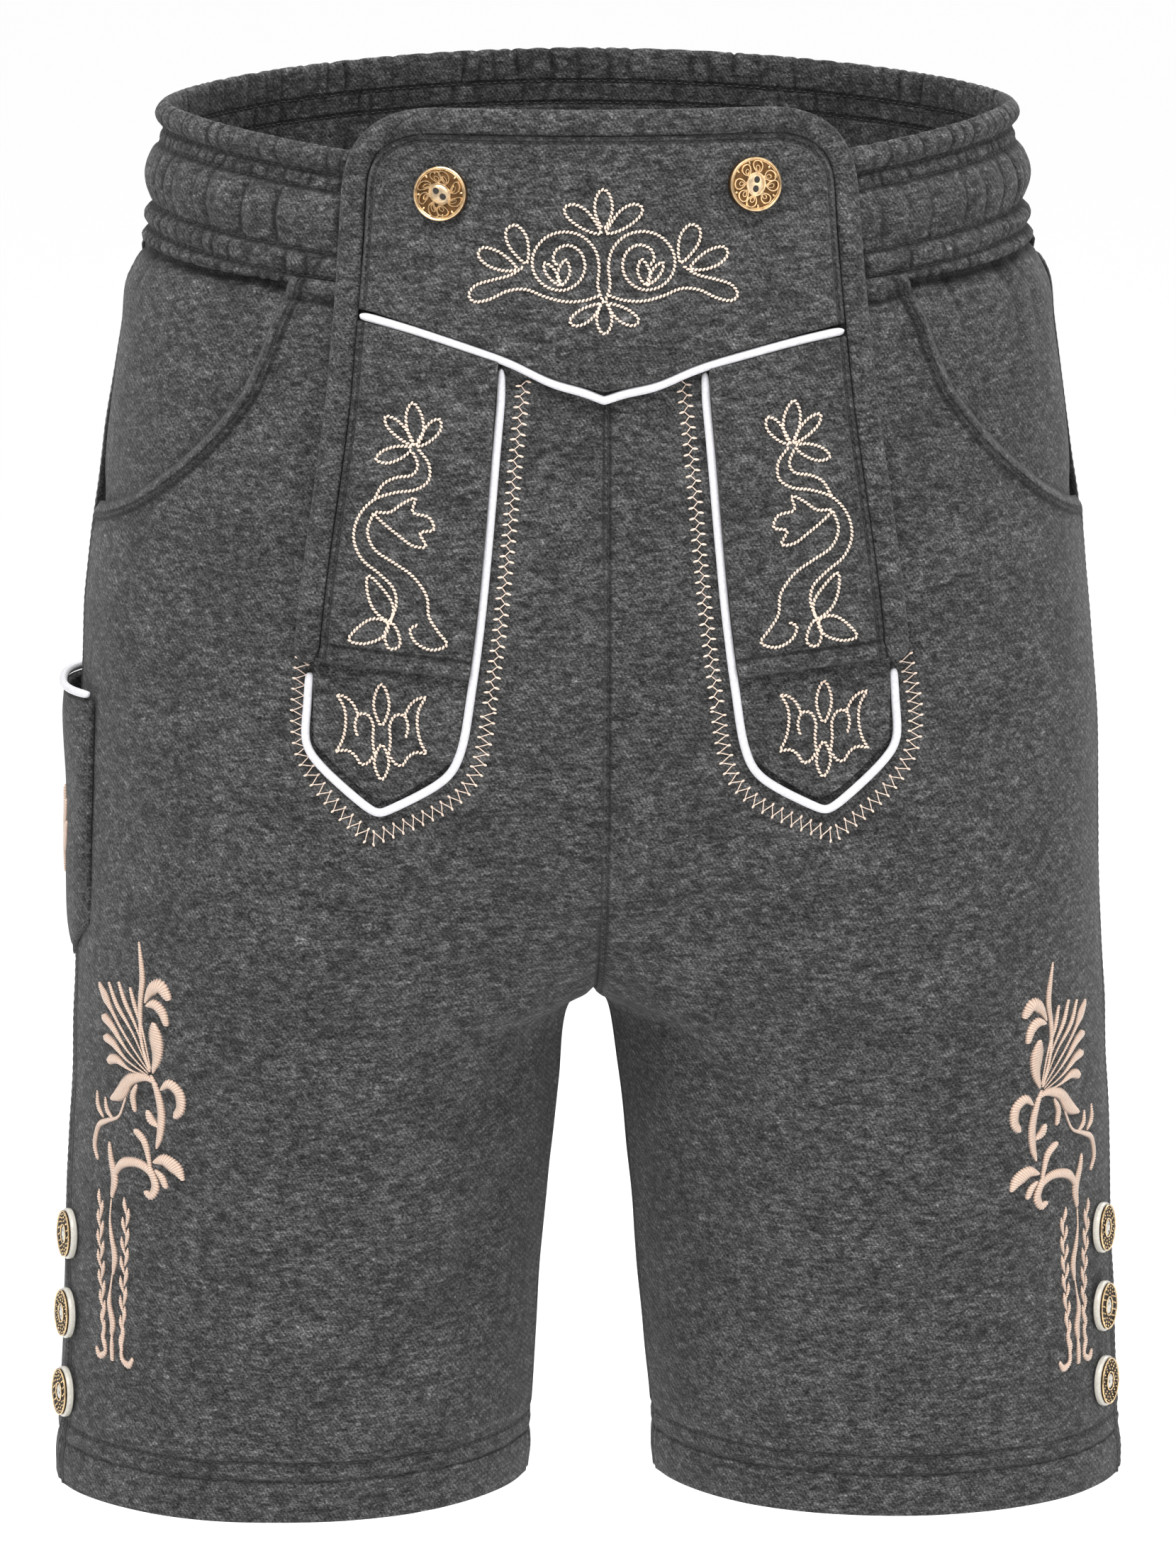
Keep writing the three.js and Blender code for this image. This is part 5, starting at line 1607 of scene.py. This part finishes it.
def flap_button(side, turn, skews):
    node = f"flap_button_{side}"
    place = button_frame(node)
    top = place[4] / MM - 0.3
    floor = turned([(0, 0), (9.4, 0), (9.8, 0.5), (9.8, top - 1.3), (8.9, top - 1.1), (4, top - 0.9),
                    (0, top - 0.8)])
    leaves = [wire(oval(radius, radius, top - low, 56), thick, 8, True)
              for radius, thick, low in FLAP_BUTTON_RINGS]
    dice = random.Random(PETALS)
    half = PETAL_SPREAD * math.pi / PETALS
    for k in range(PETALS):
        turn_here = 2 * math.pi * (k + dice.uniform(-0.12, 0.12)) / PETALS
        skew, reach = skews[k % len(skews)], dice.uniform(8.0, 8.6)
        outline = petal(3.7, reach, half * dice.uniform(0.9, 1.05), skew, top - 0.74)
        leaves.append(turned_by(wire(outline, 0.36), turn_here))
        vein = petal(4.3, reach - 1.7, 0.45 * half, 0.8 * skew, top - 0.84, 9)
        leaves.append(turned_by(wire(vein, 0.26), turn_here))
        bead = dome(0.7, 0.5, 0.45, top - 0.85, 12, 3)
        leaves.append(bead_out(bead, 8.0, turn_here + math.pi / PETALS + 0.9 * skew))
    heart = joined([wire(oval(4.1, 3.35, top - 0.55, 40), 0.4, 6, True), dome(4.1, 3.3, 0.75, top - 0.85)])
    set_button(f"{node}_back", floor, place, turn, DARK_GOLD, "gold", [node])
    set_button(f"{node}_filigree", joined(leaves), place, turn, GOLD, "gold")
    # the heart in the paler gold: a painted highlight
    set_button(f"{node}_heart", heart, place, turn, PALE_GOLD, "gold")
    set_button(f"{node}_holes", button_hole_shades(top - 0.12, 1.65, 1.3, 1.1), place, turn, HOLE_SHADE, "gold")


BUTTON_SUNK = {"left": 0.5 * MM, "right": 0.9 * MM}  # the side buttons are sewn tight into the cloth


def side_button(side, number, turn):
    stem = f"side_button_{side}_{number}"
    base, face = (button_frame(f"{stem}_{part}") for part in ("base", "face"))
    base, face = ((place[0] - BUTTON_SUNK[side] * place[3], *place[1:]) for place in (base, face))
    height, thick = base[4] / MM, face[4] / MM
    lip = height + 0.62 * thick
    body = turned([(0, 0), (8.9, 0), (9.55, 0.5), (9.7, 0.5 * lip), (9.6, lip - 0.5), (9.25, lip),
                   (8.7, lip), (8.6, height), (0, height)])
    set_button(f"{stem}_cream", body, base, turn, CREAM, "cream", [f"{stem}_base"])
    plate = turned([(3.2, 0), (8.5, 0), (8.55, 0.3), (8.3, thick - 0.45), (3.2, thick - 0.4)])
    scrolls = [wire(oval(radius, radius, thick - 0.2, 48), size, 6, True)
               for radius, size in ((8.6, 0.3), (3.5, 0.26))]
    for radius, count, size in SIDE_BUTTON_BEADS:
        bead = dome(size, 0.8 * size, 0.42, thick - 0.5, 8, 3)
        scrolls += [bead_out(bead, radius, 2 * math.pi * (k + 0.3 * radius) / count) for k in range(count)]
    set_button(f"{stem}_plate", plate, face, turn, BLACK_GOLD, "gold", [f"{stem}_face"])
    set_button(f"{stem}_scrolls", joined(scrolls), face, turn, SIDE_GOLD, "gold")
    set_button(f"{stem}_heart", dome(3.4, 3.0, 0.8, thick - 0.75), face, turn, CREAM, "cream")
    set_button(f"{stem}_holes", button_hole_shades(thick - 0.02, 1.1, 0.7, 0.6), face, turn, HOLE_SHADE, "gold")


flap_button("left", math.radians(80), (0.12, -0.1, 0.05))
flap_button("right", math.radians(-38), (0.42, 0.3, 0.5, 0.22))
for side, _ in SIDES:
    for number in (1, 2, 3):
        side_button(side, number, math.radians(25 + 50 * number))


# ---------------------------------------------------------------- the cut of each cloth piece
# Size of the cut in metres (width, length), its flat area where it isn't a rectangle, how it is held
# and what it hangs from or lies on.
CUTS = {
    "waistband_cloth": ((1.05, 0.062), None, "gathered",
                        ["front_panel_left_cloth", "front_panel_right_cloth"]),
    "flap_yoke_cloth": ((0.182, 0.096), 0.0143, "hung", ["waistband_cloth"]),
    "flap_binding_roll": ((0.0113, 0.58), None, "folded", ["flap_yoke_cloth"]),
    "knife_pocket_cloth": ((0.0885, 0.104), 0.0079, "hung",
                           ["front_panel_right_cloth", "back_panel_right_cloth"]),
}
for side, _ in SIDES:
    CUTS[f"front_panel_{side}_cloth"] = (0.280, 0.485), 0.1145, "hung", ["waistband_cloth"]
    CUTS[f"back_panel_{side}_cloth"] = (0.340, 0.500), 0.1420, "hung", ["waistband_cloth"]
    CUTS[f"pocket_side_{side}_cloth"] = (0.175, 0.176), 0.0262, "hung", ["waistband_cloth"]
    CUTS[f"flap_strip_{side}_cloth"] = (0.0575, 0.130), 0.0068, "hung", ["flap_yoke_cloth"]
    CUTS[f"tongue_{side}_cloth"] = (0.060, 0.060), 0.0029, "laid", [f"front_panel_{side}_cloth"]
for name, (flat, area, held, rests_on) in CUTS.items():
    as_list(rests_on)
